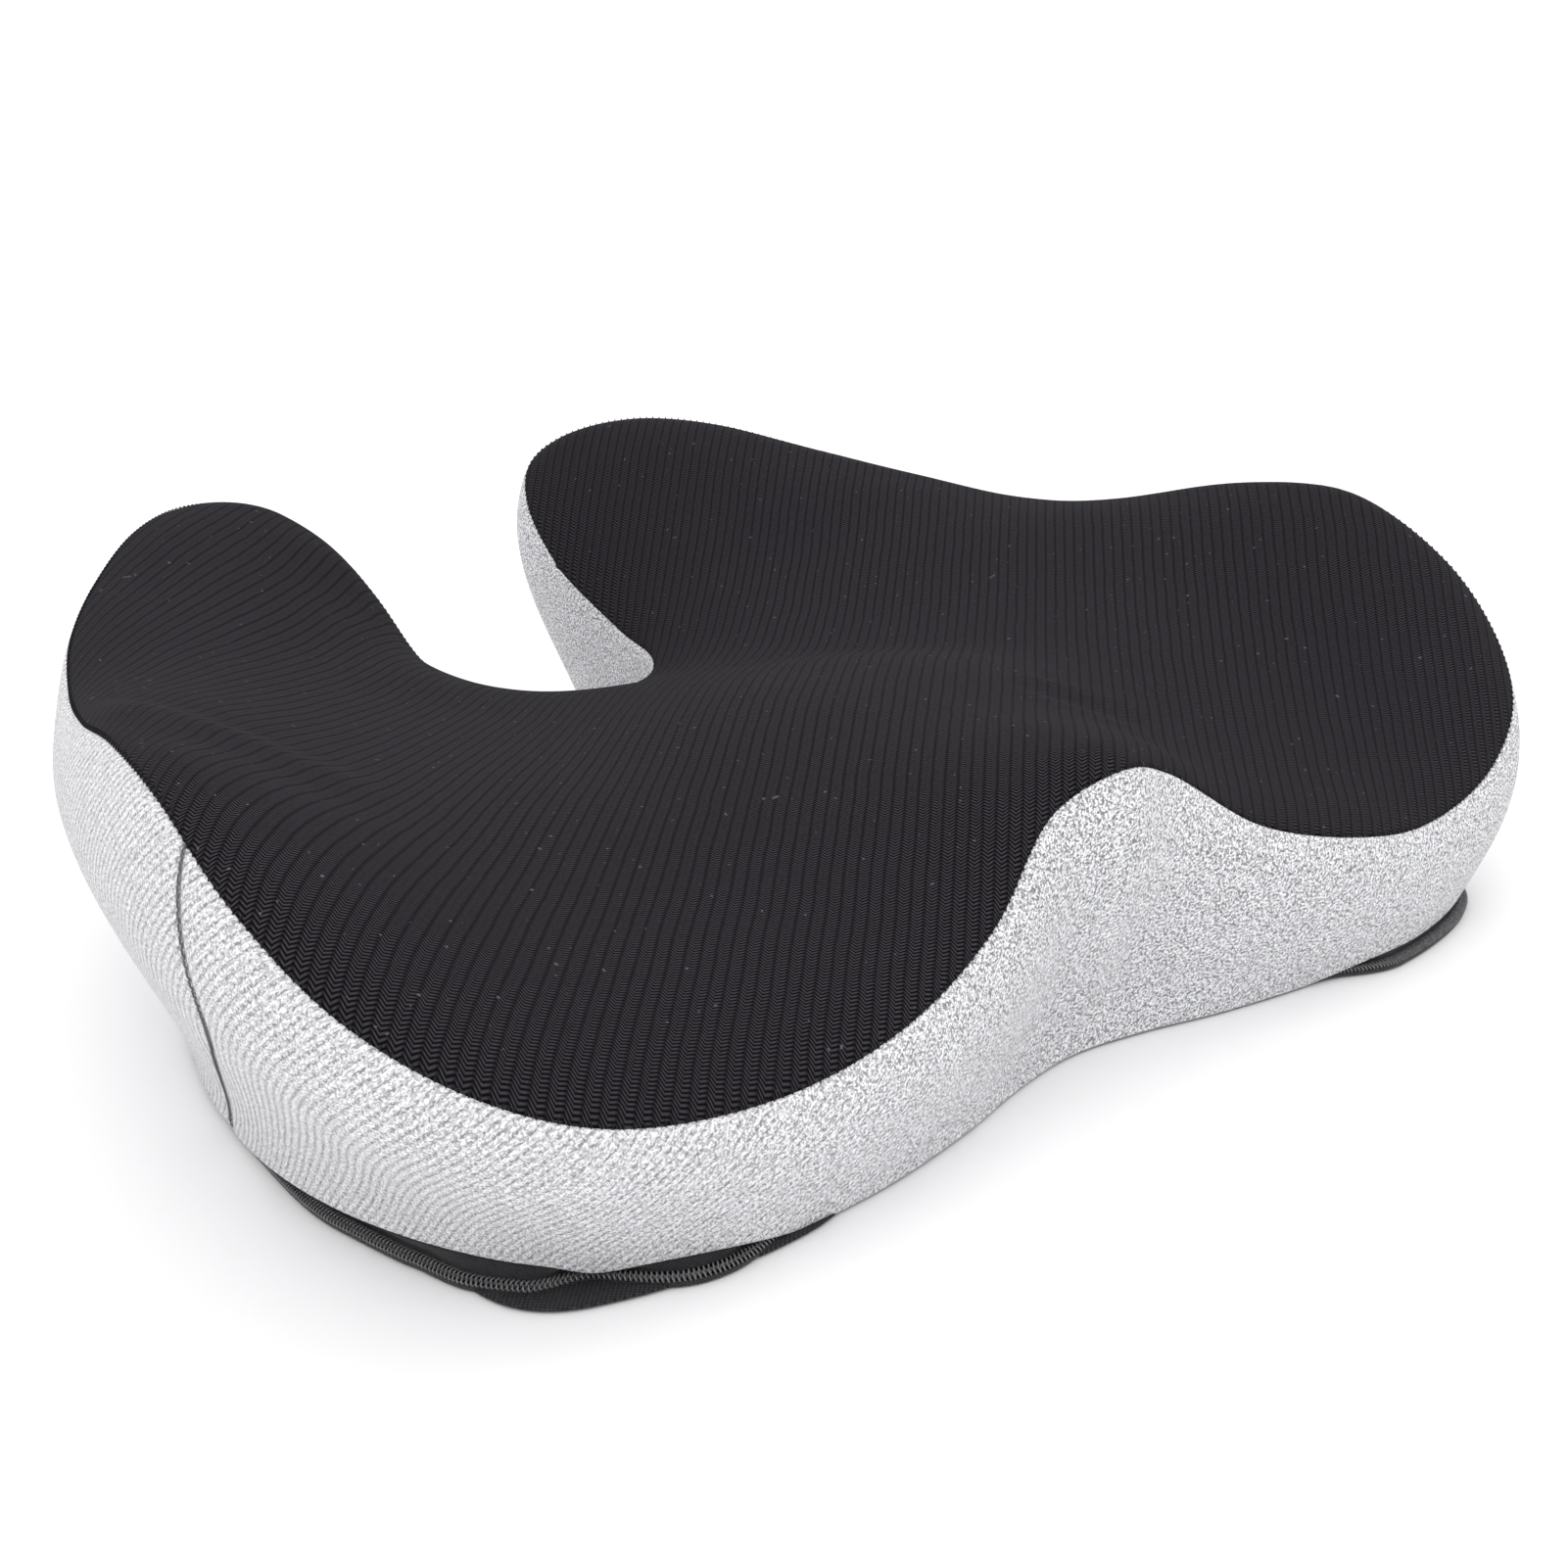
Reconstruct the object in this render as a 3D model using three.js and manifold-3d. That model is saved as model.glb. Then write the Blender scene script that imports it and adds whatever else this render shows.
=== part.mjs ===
// Coccyx seat cushion: moulded foam core in a zip-off two-tone knit cover.
// Millimetres, +Z up. Origin at the centre of the footprint, on the plane it rests on.
// -Y is the front edge (thigh lobes and pommel), +Y the rear (wings and coccyx notch), +X the sitter's left.
import * as THREE from "three";
import { mergeVertices } from "three/addons/utils/BufferGeometryUtils.js";
import Module from "manifold-3d";

// ---- driving dimensions -------------------------------------------------------------------------
const SKIN = 1.2; // cover fabric thickness
const FOAM_INSET = 3.6; // foam surface below the cover's outer face
const HEM_Z = 5; // height of the side wall's lower hem, above the zip
const PANEL_T = 1.5; // base panel thickness
const PANEL_INSET = 4.3; // base panel edge inside the hem line
const BULGE_TOP = 0.22, BULGE_LOW = 0.09; // outward fullness of the side wall, as shares of its height
const CROWN = 5.5, CROWN_NEAR = 16, CROWN_FAR = 70; // the top rises just inside its seam, then eases off
const BULGE_NOTCH = 0.35; // share of that fullness kept inside the notch
const SEAM_GAP = 2.4; // clear height under the top seam
const BAND_SPLIT_TOP = 8.7, BAND_SPLIT_LOW = 10.93; // stations where the front band meets the rear band
const ZIP_END = 10.8; // station at either end of the zip
const ZIP_STRAIGHT = 9.6; // the track is straight from here to the left-hand end
const COIL_W = 1.5, COIL_Z0 = 1.5, COIL_Z1 = 2.9, COIL_GAP = 0.1;
const TAPE_T = 0.6;
const PARTED = 1.35; // sideways shift of each coil past the slider
const SLIDER_BACK = 30; // slider centre to the end of the track
const SLIDER_TRAVEL = 18;
const STOP_L = 1.8;
const ORIGIN_Y = -1.41; // moves the tables below so that the origin is the middle of the footprint
// chain offset outside the hem line, by station from the right-hand end (-11) to the left-hand end (+11)
const ZIP_OFFSETS = [
  [-11, -2.5], [-9.8, -1.5], [-8.6, 1.5], [-7.6, 0.8], [-6.6, 3.6], [-5.9, 2.6], [-5.15, -2.8], [-4.5, 4], [-3.8, -2.8], [-2, -3.2],
  [0, -3.2], [2, -3.2], [3, -2], [3.8, 3], [5, 6.5], [6.5, 6], [8, 6.5], [9.6, 10.5], [11, 11],
];

// Half of the outline, mirrored in x: seam x, y, z and hem x, y, from the front centre to the notch centre.
const STATIONS = [
  [0, -167.5, 88, 0, -157.6],
  [22.1, -164.4, 81.2, 22.7, -160.8],
  [52.5, -173, 61.1, 53.2, -168.7],
  [90.4, -180.8, 50, 91.2, -174.3],
  [126.4, -179.6, 45, 124.9, -172.8],
  [167.3, -173.9, 50.3, 160.1, -158.1],
  [193.7, -164.4, 63, 174.8, -144.9],
  [211.8, -145.4, 79, 183.2, -131.3],
  [220.2, -119.5, 97.4, 189.1, -113.8],
  [218.9, -85.2, 112.6, 194, -85],
  [210.8, -42.1, 113.4, 191.8, -46],
  [200.7, 0.7, 106.4, 183.6, -3.7],
  [187.3, 42.5, 102.3, 169.9, 34.5],
  [171.2, 79.7, 107.5, 151.4, 69.1],
  [149.9, 112, 115.6, 133.1, 99.3],
  [122.3, 143.9, 122.2, 106.2, 128.8],
  [93.6, 168.6, 122.3, 87, 147.5],
  [70.9, 180.2, 117.2, 74, 155.5],
  [55.1, 179, 110.2, 63.5, 155],
  [44, 166.1, 99.3, 57.5, 147.5],
  [38.3, 139.4, 81.3, 55, 133],
  [38.8, 103.3, 65.3, 55, 102],
  [33.1, 75.8, 62.4, 49.5, 69],
  [20.4, 60.7, 60.9, 31, 43],
  [0, 56.1, 59.7, 0, 36],
];
const HEIGHTS = [
  [79.5, 73, 59.4, 49.5, 43, 37.3, 34.2, 36.7, 41.8, 45.7, 47.2],
  [87, 77.9, 62, 54, 50.4, 47.1, 46.5, 51.5, 57.7, 61.5, 63.3],
  [87.9, 80.9, 68.4, 61.7, 59.4, 58.8, 61.1, 67.3, 73.4, 78.4, 80.8],
  [86.6, 83.4, 76.8, 71.9, 69.9, 70.8, 74.9, 81.9, 89.7, 95.2, 97],
  [88, 87.1, 83.7, 79.5, 77.4, 78.9, 83.5, 91.2, 101, 107.2, 108.7],
  [89.9, 89.8, 86.8, 82.1, 80.4, 82.5, 87.7, 96.5, 108.5, 117.1, 119.1],
  [88.3, 88.1, 84.5, 80.3, 80.2, 83.6, 90.1, 99.9, 110.5, 118, 120.4],
  [83.5, 82.7, 79.2, 77.2, 79.2, 84.3, 92.3, 101.7, 109, 113.6, 115.5],
  [76.5, 75.9, 74.3, 74.9, 78.9, 86, 94.7, 102.1, 106.4, 108.8, 109.9],
  [68.3, 69, 70.6, 73.6, 79.9, 88.5, 96.2, 101.1, 103.7, 105.5, 106.4],
  [61, 63.4, 68, 73.7, 82.4, 91.5, 98.3, 101.8, 103.8, 105.8, 106.7],
  [57.6, 60.5, 67.3, 76.3, 86.8, 96.2, 103.2, 106.5, 108.5, 110.7, 111.6],
  [58.9, 60.9, 69.6, 82.3, 93.6, 103.5, 111.2, 115.2, 117.5, 119.6, 120.4],
  [67.5, 69.3, 78.6, 92, 103.4, 114.3, 122.5, 126.9, 129.2, 131.1, 131.8],
  [82.2, 84.4, 92.7, 104.3, 116.3, 127.5, 135.4, 139.6, 142.1, 143.9, 144.5],
  [98.5, 100.7, 107.4, 117.8, 130.1, 140.8, 148.2, 152.6, 155.3, 157.2, 157.9],
  [109.5, 111.1, 116.7, 126.7, 138.9, 149.7, 157.1, 161.6, 164.4, 166.4, 167.1],
];
const HEIGHT_X0 = 0, HEIGHT_Y0 = -200 + ORIGIN_Y, HEIGHT_STEP = 25; // HEIGHTS rows run along y, columns along x

// ---- curves -------------------------------------------------------------------------------------
const NST = STATIONS.length - 1; // stations per half
const loop = [];
for (let i = 0; i <= NST; i++) loop.push([STATIONS[i][0], STATIONS[i][1] + ORIGIN_Y, STATIONS[i][2], STATIONS[i][3], STATIONS[i][4] + ORIGIN_Y]);
for (let i = NST - 1; i > 0; i--) loop.push([-loop[i][0], loop[i][1], loop[i][2], -loop[i][3], loop[i][4]]);
const seamCurve = new THREE.CatmullRomCurve3(loop.map((r) => new THREE.Vector3(r[0], r[1], r[2])), true, "centripetal");
const hemCurve = new THREE.CatmullRomCurve3(loop.map((r) => new THREE.Vector3(r[3], r[4], 0)), true, "centripetal");
const wrap = (p) => ((p / (2 * NST)) % 1 + 1) % 1;
const seamAt = (p) => seamCurve.getPoint(wrap(p));
const hemAt = (p) => hemCurve.getPoint(wrap(p));
function hemNormal(p) {
  const a = hemAt(p - 0.15), b = hemAt(p + 0.15);
  const n = new THREE.Vector3(b.y - a.y, a.x - b.x, 0);
  return n.normalize();
}
const lerpTable = (t, x) => {
  if (x <= t[0][0]) return t[0][1];
  for (let i = 1; i < t.length; i++)
    if (x <= t[i][0]) {
      const u = (x - t[i - 1][0]) / (t[i][0] - t[i - 1][0]), s = u * u * (3 - 2 * u);
      return t[i - 1][1] + (t[i][1] - t[i - 1][1]) * s;
    }
  return t[t.length - 1][1];
};
// signed station: -NST..NST, 0 at the front centre
const signed = (p) => { let q = p % (2 * NST); if (q > NST) q -= 2 * NST; if (q < -NST) q += 2 * NST; return q; };
function fullness(p) {
  const q = Math.abs(signed(p));
  const u = Math.min(1, Math.max(0, (q - 17) / 3));
  return 1 + (BULGE_NOTCH - 1) * u;
}
// point on the side wall: w = 0 at the top seam, 1 at the hem
function wallAt(p, w) {
  const s = seamAt(p), b = hemAt(p), n = hemNormal(p), f = fullness(p);
  b.z = HEM_Z;
  const h = s.z - b.z;
  const c1 = s.clone().addScaledVector(n, BULGE_TOP * f * h).add(new THREE.Vector3(0, 0, -0.33 * h));
  const c2 = b.clone().addScaledVector(n, BULGE_LOW * f * h).add(new THREE.Vector3(0, 0, 0.33 * h));
  return new THREE.CubicBezierCurve3(s, c1, c2, b).getPoint(w);
}

// ---- top surface --------------------------------------------------------------------------------
function heightAt(x, y) {
  const cr = (a, b, c, d, t) => 0.5 * (2 * b + (c - a) * t + (2 * a - 5 * b + 4 * c - d) * t * t + (3 * b - a - 3 * c + d) * t * t * t);
  const R = HEIGHTS.length, C = HEIGHTS[0].length;
  const at = (j, i) => HEIGHTS[Math.min(R - 1, Math.max(0, j))][Math.min(C - 1, Math.abs(i))];
  const gx = (Math.abs(x) - HEIGHT_X0) / HEIGHT_STEP, gy = (y - HEIGHT_Y0) / HEIGHT_STEP;
  const i = Math.floor(gx), j = Math.floor(gy), u = gx - i, v = gy - j;
  const row = (jj) => cr(at(jj, i - 1), at(jj, i), at(jj, i + 1), at(jj, i + 2), u);
  return cr(row(j - 1), row(j), row(j + 1), row(j + 2), v);
}
const NU = 12, NV = 16, NC = 8; // columns across a half, rows front to rear, rows before the notch
// Grid of one half (x >= 0): sides are front, outer, rear tip, and centre line plus notch wall.
function halfGrid() {
  const P = Array.from({ length: NU + 1 }, () => new Array(NV + 1));
  const e = 0.5, notch = seamAt(NST), front = seamAt(0);
  for (let i = 0; i <= NU; i++) { P[i][0] = seamAt(i * e); P[i][NV] = seamAt(NST - (NV - NC) * e - i * e); }
  for (let j = 0; j <= NV; j++) {
    P[NU][j] = seamAt(NU * e + j * e);
    P[0][j] = j === 0 ? seamAt(0) : j < NC ? new THREE.Vector3(0, front.y + (notch.y - front.y) * (j / NC), 0) : seamAt(NST - (j - NC) * e);
  }
  for (let j = 1; j < NC; j++) P[0][j].z = heightAt(0, P[0][j].y);
  for (let i = 1; i < NU; i++)
    for (let j = 1; j < NV; j++) {
      const u = i / NU, v = j / NV, q = new THREE.Vector3();
      q.addScaledVector(P[i][0], 1 - v).addScaledVector(P[i][NV], v).addScaledVector(P[0][j], 1 - u).addScaledVector(P[NU][j], u);
      q.addScaledVector(P[0][0], -(1 - u) * (1 - v)).addScaledVector(P[NU][0], -u * (1 - v)).addScaledVector(P[0][NV], -(1 - u) * v).addScaledVector(P[NU][NV], -u * v);
      P[i][j] = q;
    }
  // elliptic smoothing keeps the cells from folding over near the notch
  for (let it = 0; it < 600; it++)
    for (let i = 1; i < NU; i++)
      for (let j = 1; j < NV; j++) {
        const E = P[i + 1][j], W = P[i - 1][j], N = P[i][j + 1], S = P[i][j - 1];
        const xu = (E.x - W.x) / 2, yu = (E.y - W.y) / 2, xv = (N.x - S.x) / 2, yv = (N.y - S.y) / 2;
        const a = xv * xv + yv * yv, b = xu * xv + yu * yv, g = xu * xu + yu * yu;
        for (const k of ["x", "y"]) {
          const cross = (P[i + 1][j + 1][k] - P[i - 1][j + 1][k] - P[i + 1][j - 1][k] + P[i - 1][j - 1][k]) / 4;
          P[i][j][k] = (a * (E[k] + W[k]) + g * (N[k] + S[k]) - 2 * b * cross) / (2 * (a + g));
        }
      }
  // heights, with the seam's own height blended inwards
  const d = (i, j) => P[i][j].z - heightAt(P[i][j].x, P[i][j].y);
  const out = P.map((r) => r.map((q) => q.clone()));
  for (let i = 1; i < NU; i++)
    for (let j = 1; j < NV; j++) {
      const u = i / NU, v = j / NV;
      const l = 0, r = d(NU, j) * Math.pow(u, 4), f = d(i, 0) * Math.pow(1 - v, 4), b = d(i, NV) * Math.pow(v, 4);
      out[i][j].z = heightAt(P[i][j].x, P[i][j].y) + l + r + f + b;
    }
  return out;
}
const half = halfGrid();
const inSeam = [];
for (let k = 0; k < 8 * NST; k++) inSeam.push(seamAt(k / 4));
function crownAt(x, y) {
  let d2 = 1e9;
  for (let k = 0; k < inSeam.length; k++) {
    const a = inSeam[k], b = inSeam[(k + 1) % inSeam.length], dx = b.x - a.x, dy = b.y - a.y;
    const t = Math.min(1, Math.max(0, ((x - a.x) * dx + (y - a.y) * dy) / (dx * dx + dy * dy)));
    d2 = Math.min(d2, (x - a.x - t * dx) ** 2 + (y - a.y - t * dy) ** 2);
  }
  const d = Math.sqrt(d2), up = Math.min(1, d / CROWN_NEAR), dn = Math.min(1, Math.max(0, (d - CROWN_NEAR) / (CROWN_FAR - CROWN_NEAR)));
  return CROWN * Math.sin((up * Math.PI) / 2) * (1 - dn * dn * (3 - 2 * dn));
}
for (let i = 0; i < NU; i++) for (let j = 1; j < NV; j++) if (i > 0 || j < NC) half[i][j].z += crownAt(half[i][j].x, half[i][j].y);

// ---- mesh helpers -------------------------------------------------------------------------------
class Soup {
  constructor() { this.p = []; }
  tri(a, b, c) { this.p.push(a.x, a.y, a.z, b.x, b.y, b.z, c.x, c.y, c.z); }
  quad(a, b, c, d) { this.tri(a, b, c); this.tri(a, c, d); }
  back(a, b, c, d) { this.tri(c, b, a); this.tri(d, c, a); } // the same quad seen from behind
  geometry() {
    const g = new THREE.BufferGeometry();
    g.setAttribute("position", new THREE.BufferAttribute(new Float32Array(this.p), 3));
    g.computeVertexNormals();
    return g;
  }
}
const group = new THREE.Group();
group.name = "seat_cushion";
function add(name, geometry, color, roughness, metalness = 0) {
  const m = new THREE.Mesh(geometry, new THREE.MeshStandardMaterial({ color, roughness, metalness }));
  m.name = name;
  group.add(m);
  return m;
}
const BLACK = 0x29272b, GREY = 0xc9c9cf, FOAM = 0xd8cdb4, TAPE = 0x1c1c1e, BASE = 0x232326, METAL = 0x2b2b2e;
const CORD = 2 * NST * 2; // perimeter columns, two to a station
const colP = (k) => k / 2;

// Whole top as one list of cells, both halves, and its boundary loop in column order.
const mir = (v) => new THREE.Vector3(-v.x, v.y, v.z);
const topCells = [];
for (let i = 0; i < NU; i++)
  for (let j = 0; j < NV; j++) {
    const q = [half[i][j], half[i + 1][j], half[i + 1][j + 1], half[i][j + 1]];
    topCells.push(q);
    topCells.push([mir(q[1]), mir(q[0]), mir(q[3]), mir(q[2])]);
  }
const seamLoop = [];
for (let k = 0; k < CORD; k++) seamLoop.push(seamAt(colP(k)));

// Vertex normals of the cover, shared between the top and the wall.
const key = (v) => Math.round(v.x * 200) + "," + Math.round(v.y * 200) + "," + Math.round(v.z * 200);
const RINGS = [0, 0.12, 0.3, 0.52, 0.76, 1];
const normals = new Map();
const addNormal = (a, b, c) => {
  const n = new THREE.Vector3().subVectors(b, a).cross(new THREE.Vector3().subVectors(c, a));
  for (const v of [a, b, c]) { const k = key(v); if (!normals.has(k)) normals.set(k, new THREE.Vector3()); normals.get(k).add(n); }
};
for (const [a, b, c, d] of topCells) { addNormal(a, b, c); addNormal(a, c, d); }
const rings = RINGS.map((w) => seamLoop.map((s, k) => (w === 0 ? s : wallAt(colP(k), w))));
for (let r = 0; r + 1 < rings.length; r++)
  for (let k = 0; k < CORD; k++) {
    const k2 = (k + 1) % CORD, a = rings[r][k], b = rings[r + 1][k], c = rings[r + 1][k2], d = rings[r][k2];
    addNormal(a, b, c); addNormal(a, c, d);
  }
const seamSet = new Map(seamLoop.map((s, k) => [key(s), k]));
// inwards by t; a point of the seam goes in from the wall and down from the top alike
const inset = (v, t) => {
  const k = seamSet.get(key(v));
  if (k === undefined) return v.clone().addScaledVector(normals.get(key(v)).clone().normalize(), -t);
  return v.clone().addScaledVector(hemNormal(colP(k)), -1.1 * t).add(new THREE.Vector3(0, 0, -1.15 * t));
};

// ---- foam core ----------------------------------------------------------------------------------
{
  const s = new Soup();
  const I = (v) => inset(v, FOAM_INSET);
  for (const [a, b, c, d] of topCells) s.quad(I(a), I(b), I(c), I(d));
  const R = rings.map((r, q) => r.map((v, k) => {
    if (q < rings.length - 1) return I(v);
    return hemAt(colP(k)).addScaledVector(hemNormal(colP(k)), -FOAM_INSET).setZ(HEM_Z + 0.4);
  }));
  const off = (n, z) => seamLoop.map((_, k) => hemAt(colP(k)).addScaledVector(hemNormal(colP(k)), -n).setZ(z));
  R.push(off(6.5, 4.3), off(9, PANEL_T + 0.6));
  for (let r = 0; r + 1 < R.length; r++)
    for (let k = 0; k < CORD; k++) {
      const k2 = (k + 1) % CORD;
      s.quad(R[r][k], R[r + 1][k], R[r + 1][k2], R[r][k2]);
    }
  const L = R[R.length - 1], flat = L.map((v) => new THREE.Vector2(v.x, v.y));
  for (const [a, b, c] of THREE.ShapeUtils.triangulateShape(flat, [])) s.tri(L[c], L[b], L[a]);
  add("foam_core", s.geometry(), FOAM, 0.95);
}

// ---- black seating panel ------------------------------------------------------------------------
{
  const s = new Soup();
  const I = (v) => inset(v, SKIN);
  for (const [a, b, c, d] of topCells) { s.quad(a, b, c, d); s.back(I(a), I(b), I(c), I(d)); }
  for (let k = 0; k < CORD; k++) {
    const a = seamLoop[k], b = seamLoop[(k + 1) % CORD];
    s.quad(b, a, I(a), I(b));
  }
  add("top_panel", s.geometry(), BLACK, 0.9);
}

// ---- grey side bands ----------------------------------------------------------------------------
// p0(w), p1(w): station limits at wall height w; tail(p): extra rows that turn under the wall
function band(name, p0, p1, cols, turnUnder) {
  const rows = RINGS.map((w) => (k) => {
    const p = p0(w) + ((p1(w) - p0(w)) * k) / cols;
    return wallAt(p, w || SEAM_GAP / (seamAt(p).z - HEM_Z));
  });
  if (turnUnder)
    for (const [n, z] of [[1.4, 3.2], [3.5, 1.2]])
      rows.push((k) => { const p = p0(1) + ((p1(1) - p0(1)) * k) / cols; return hemAt(p).addScaledVector(hemNormal(p), -n).setZ(z); });
  const grid = rows.map((f) => Array.from({ length: cols + 1 }, (_, k) => f(k)));
  const acc = grid.map((r) => r.map(() => new THREE.Vector3()));
  const A = new THREE.Vector3(), B = new THREE.Vector3();
  for (let r = 0; r + 1 < grid.length; r++)
    for (let k = 0; k < cols; k++) {
      const a = grid[r][k], b = grid[r + 1][k], c = grid[r + 1][k + 1], d = grid[r][k + 1];
      const n = new THREE.Vector3().crossVectors(A.subVectors(c, a), B.subVectors(d, b));
      for (const [i, j] of [[r, k], [r + 1, k], [r + 1, k + 1], [r, k + 1]]) acc[i][j].add(n);
    }
  const inner = grid.map((r, i) => r.map((v, j) => v.clone().addScaledVector(acc[i][j].normalize(), -SKIN)));
  const s = new Soup(), n = grid.length - 1;
  for (let r = 0; r < n; r++)
    for (let k = 0; k < cols; k++) {
      s.quad(grid[r][k], grid[r + 1][k], grid[r + 1][k + 1], grid[r][k + 1]);
      s.back(inner[r][k], inner[r + 1][k], inner[r + 1][k + 1], inner[r][k + 1]);
    }
  for (let k = 0; k < cols; k++) {
    s.quad(grid[0][k], grid[0][k + 1], inner[0][k + 1], inner[0][k]);
    s.quad(grid[n][k + 1], grid[n][k], inner[n][k], inner[n][k + 1]);
  }
  for (let r = 0; r < n; r++) {
    s.quad(grid[r + 1][0], grid[r][0], inner[r][0], inner[r + 1][0]);
    s.quad(grid[r][cols], grid[r + 1][cols], inner[r + 1][cols], inner[r][cols]);
  }
  add(name, s.geometry(), GREY, 0.92);
}
const split = (w) => BAND_SPLIT_TOP + (BAND_SPLIT_LOW - BAND_SPLIT_TOP) * w;
band("front_side_band", (w) => -split(w), (w) => split(w), 44, false);
band("rear_side_band", (w) => split(w) + 0.03, (w) => 2 * NST - split(w) - 0.03, 56, true);

// ---- base panel ---------------------------------------------------------------------------------
{
  const pts = seamLoop.map((_, k) => { const v = hemAt(colP(k)).addScaledVector(hemNormal(colP(k)), -PANEL_INSET); return new THREE.Vector2(v.x, v.y); });
  const g = new THREE.ExtrudeGeometry(new THREE.Shape(pts), { depth: PANEL_T, bevelEnabled: false, steps: 1 });
  add("base_panel", g, BASE, 0.8);
}

// ---- zip ----------------------------------------------------------------------------------------
const zipFree = (p) => hemAt(p).addScaledVector(hemNormal(p), lerpTable(ZIP_OFFSETS, p));
const lineA = zipFree(ZIP_STRAIGHT), lineB = zipFree(ZIP_END);
const trackDir = lineB.clone().sub(lineA).normalize();
const trackOut = new THREE.Vector3(trackDir.y, -trackDir.x, 0);
const trackLen = lineB.clone().sub(lineA).length();
function zipOffset(p) {
  if (p < ZIP_STRAIGHT) return lerpTable(ZIP_OFFSETS, p);
  const b = hemAt(p), n = hemNormal(p), dx = lineA.x - b.x, dy = lineA.y - b.y;
  return (dx * trackDir.y - dy * trackDir.x) / (n.x * trackDir.y - n.y * trackDir.x);
}
const alongTrack = (p) => { const q = hemAt(p).addScaledVector(hemNormal(p), zipOffset(p)); return q.sub(lineA).dot(trackDir); };
// stations of the sweeps: even outside the straight, and by distance along it
const zipP = [];
for (let i = 0; i <= 58; i++) zipP.push(-ZIP_END + ((ZIP_STRAIGHT + ZIP_END) * i) / 58);
const pAtTrack = (s) => { let a = ZIP_STRAIGHT, b = ZIP_END; for (let i = 0; i < 40; i++) { const m = (a + b) / 2; if (alongTrack(m) < s) a = m; else b = m; } return (a + b) / 2; };
const sliderS = trackLen - SLIDER_BACK;
const trackMarks = [9, 18, sliderS - 6, sliderS - 1.5, sliderS + 2.5, sliderS + 10, sliderS + 18, trackLen - 4.2];
for (const s of trackMarks) zipP.push(pAtTrack(s));
function sweep(name, ps, section, color, roughness, metalness) {
  // section(p) returns [offset, z] pairs, counter-clockwise seen with the offset axis to the right and z up
  const rows = ps.map((p) => {
    const b = hemAt(p), n = hemNormal(p);
    return section(p).map(([o, z]) => b.clone().addScaledVector(n, o).setZ(z));
  });
  const s = new Soup(), m = rows[0].length;
  for (let r = 0; r + 1 < rows.length; r++)
    for (let k = 0; k < m; k++) {
      const k2 = (k + 1) % m;
      s.quad(rows[r][k], rows[r][k2], rows[r + 1][k2], rows[r + 1][k]);
    }
  for (const [row, p, flip] of [[rows[0], ps[0], false], [rows[rows.length - 1], ps[ps.length - 1], true]]) {
    const flat = section(p).map(([o, z]) => new THREE.Vector2(o, z));
    const turn = THREE.ShapeUtils.area(flat) < 0 ? !flip : flip;
    for (const [a, b, c] of THREE.ShapeUtils.triangulateShape(flat, [])) turn ? s.tri(row[a], row[b], row[c]) : s.tri(row[c], row[b], row[a]);
  }
  let g = s.geometry();
  // make sure the faces point outwards
  const pos = g.getAttribute("position").array;
  let vol = 0;
  for (let i = 0; i < pos.length; i += 9)
    vol += pos[i] * (pos[i + 4] * pos[i + 8] - pos[i + 5] * pos[i + 7]) + pos[i + 1] * (pos[i + 5] * pos[i + 6] - pos[i + 3] * pos[i + 8]) + pos[i + 2] * (pos[i + 3] * pos[i + 7] - pos[i + 4] * pos[i + 6]);
  if (vol < 0) {
    for (let i = 0; i < pos.length; i += 9) for (let k = 0; k < 3; k++) { const t = pos[i + 3 + k]; pos[i + 3 + k] = pos[i + 6 + k]; pos[i + 6 + k] = t; }
    g.computeVertexNormals();
  }
  return add(name, g, color, roughness, metalness);
}
const part = (p) => { if (p < ZIP_STRAIGHT) return 0; const u = Math.min(1, Math.max(0, (alongTrack(p) - (sliderS - 1.5)) / 4)); return PARTED * u; };
const ribbon = (pts, t) => {
  const up = [], dn = [];
  for (let i = 0; i < pts.length; i++) {
    const a = pts[Math.max(0, i - 1)], b = pts[Math.min(pts.length - 1, i + 1)];
    const dx = b[0] - a[0], dz = b[1] - a[1], l = Math.hypot(dx, dz);
    const nx = (-dz / l) * (t / 2), nz = (dx / l) * (t / 2);
    up.push([pts[i][0] + nx, pts[i][1] + nz]); dn.push([pts[i][0] - nx, pts[i][1] - nz]);
  }
  return up.concat(dn.reverse());
};
sweep("zipper_tape_upper", zipP, (p) => {
  const o = zipOffset(p) - part(p), u = Math.min(1, Math.max(0, o / 4));
  return ribbon([[-0.6, HEM_Z - 0.7], [o - COIL_W - 1.3, 3.5 - 0.75 * u], [o - COIL_W - COIL_GAP - 0.6, 2.3]], TAPE_T);
}, TAPE, 0.85, 0);
sweep("zipper_tape_lower", zipP, (p) => {
  const o = zipOffset(p) + part(p);
  const u = p > ZIP_STRAIGHT - 0.6 ? Math.min(1, (p - ZIP_STRAIGHT + 0.6) / 0.6) : 0, e = 1.2 * u; // a wider fold where the slider runs
  return ribbon([[-3.6, 0.65], [o + COIL_W + 0.3 + e, 0.65], [o + COIL_W + 1.3 + e, 1.5], [o + COIL_W + COIL_GAP + 0.5, 2.3]], TAPE_T);
}, TAPE, 0.85, 0);
const coil = (name, side) => sweep(name, zipP, (p) => {
  const o = zipOffset(p) + side * part(p), a = side > 0 ? o + COIL_GAP : o - COIL_GAP - COIL_W;
  return [[a, COIL_Z0], [a + COIL_W, COIL_Z0], [a + COIL_W, COIL_Z1], [a, COIL_Z1]];
}, TAPE, 0.5, 0);
coil("zipper_coil_upper", -1);
coil("zipper_coil_lower", 1);
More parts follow.
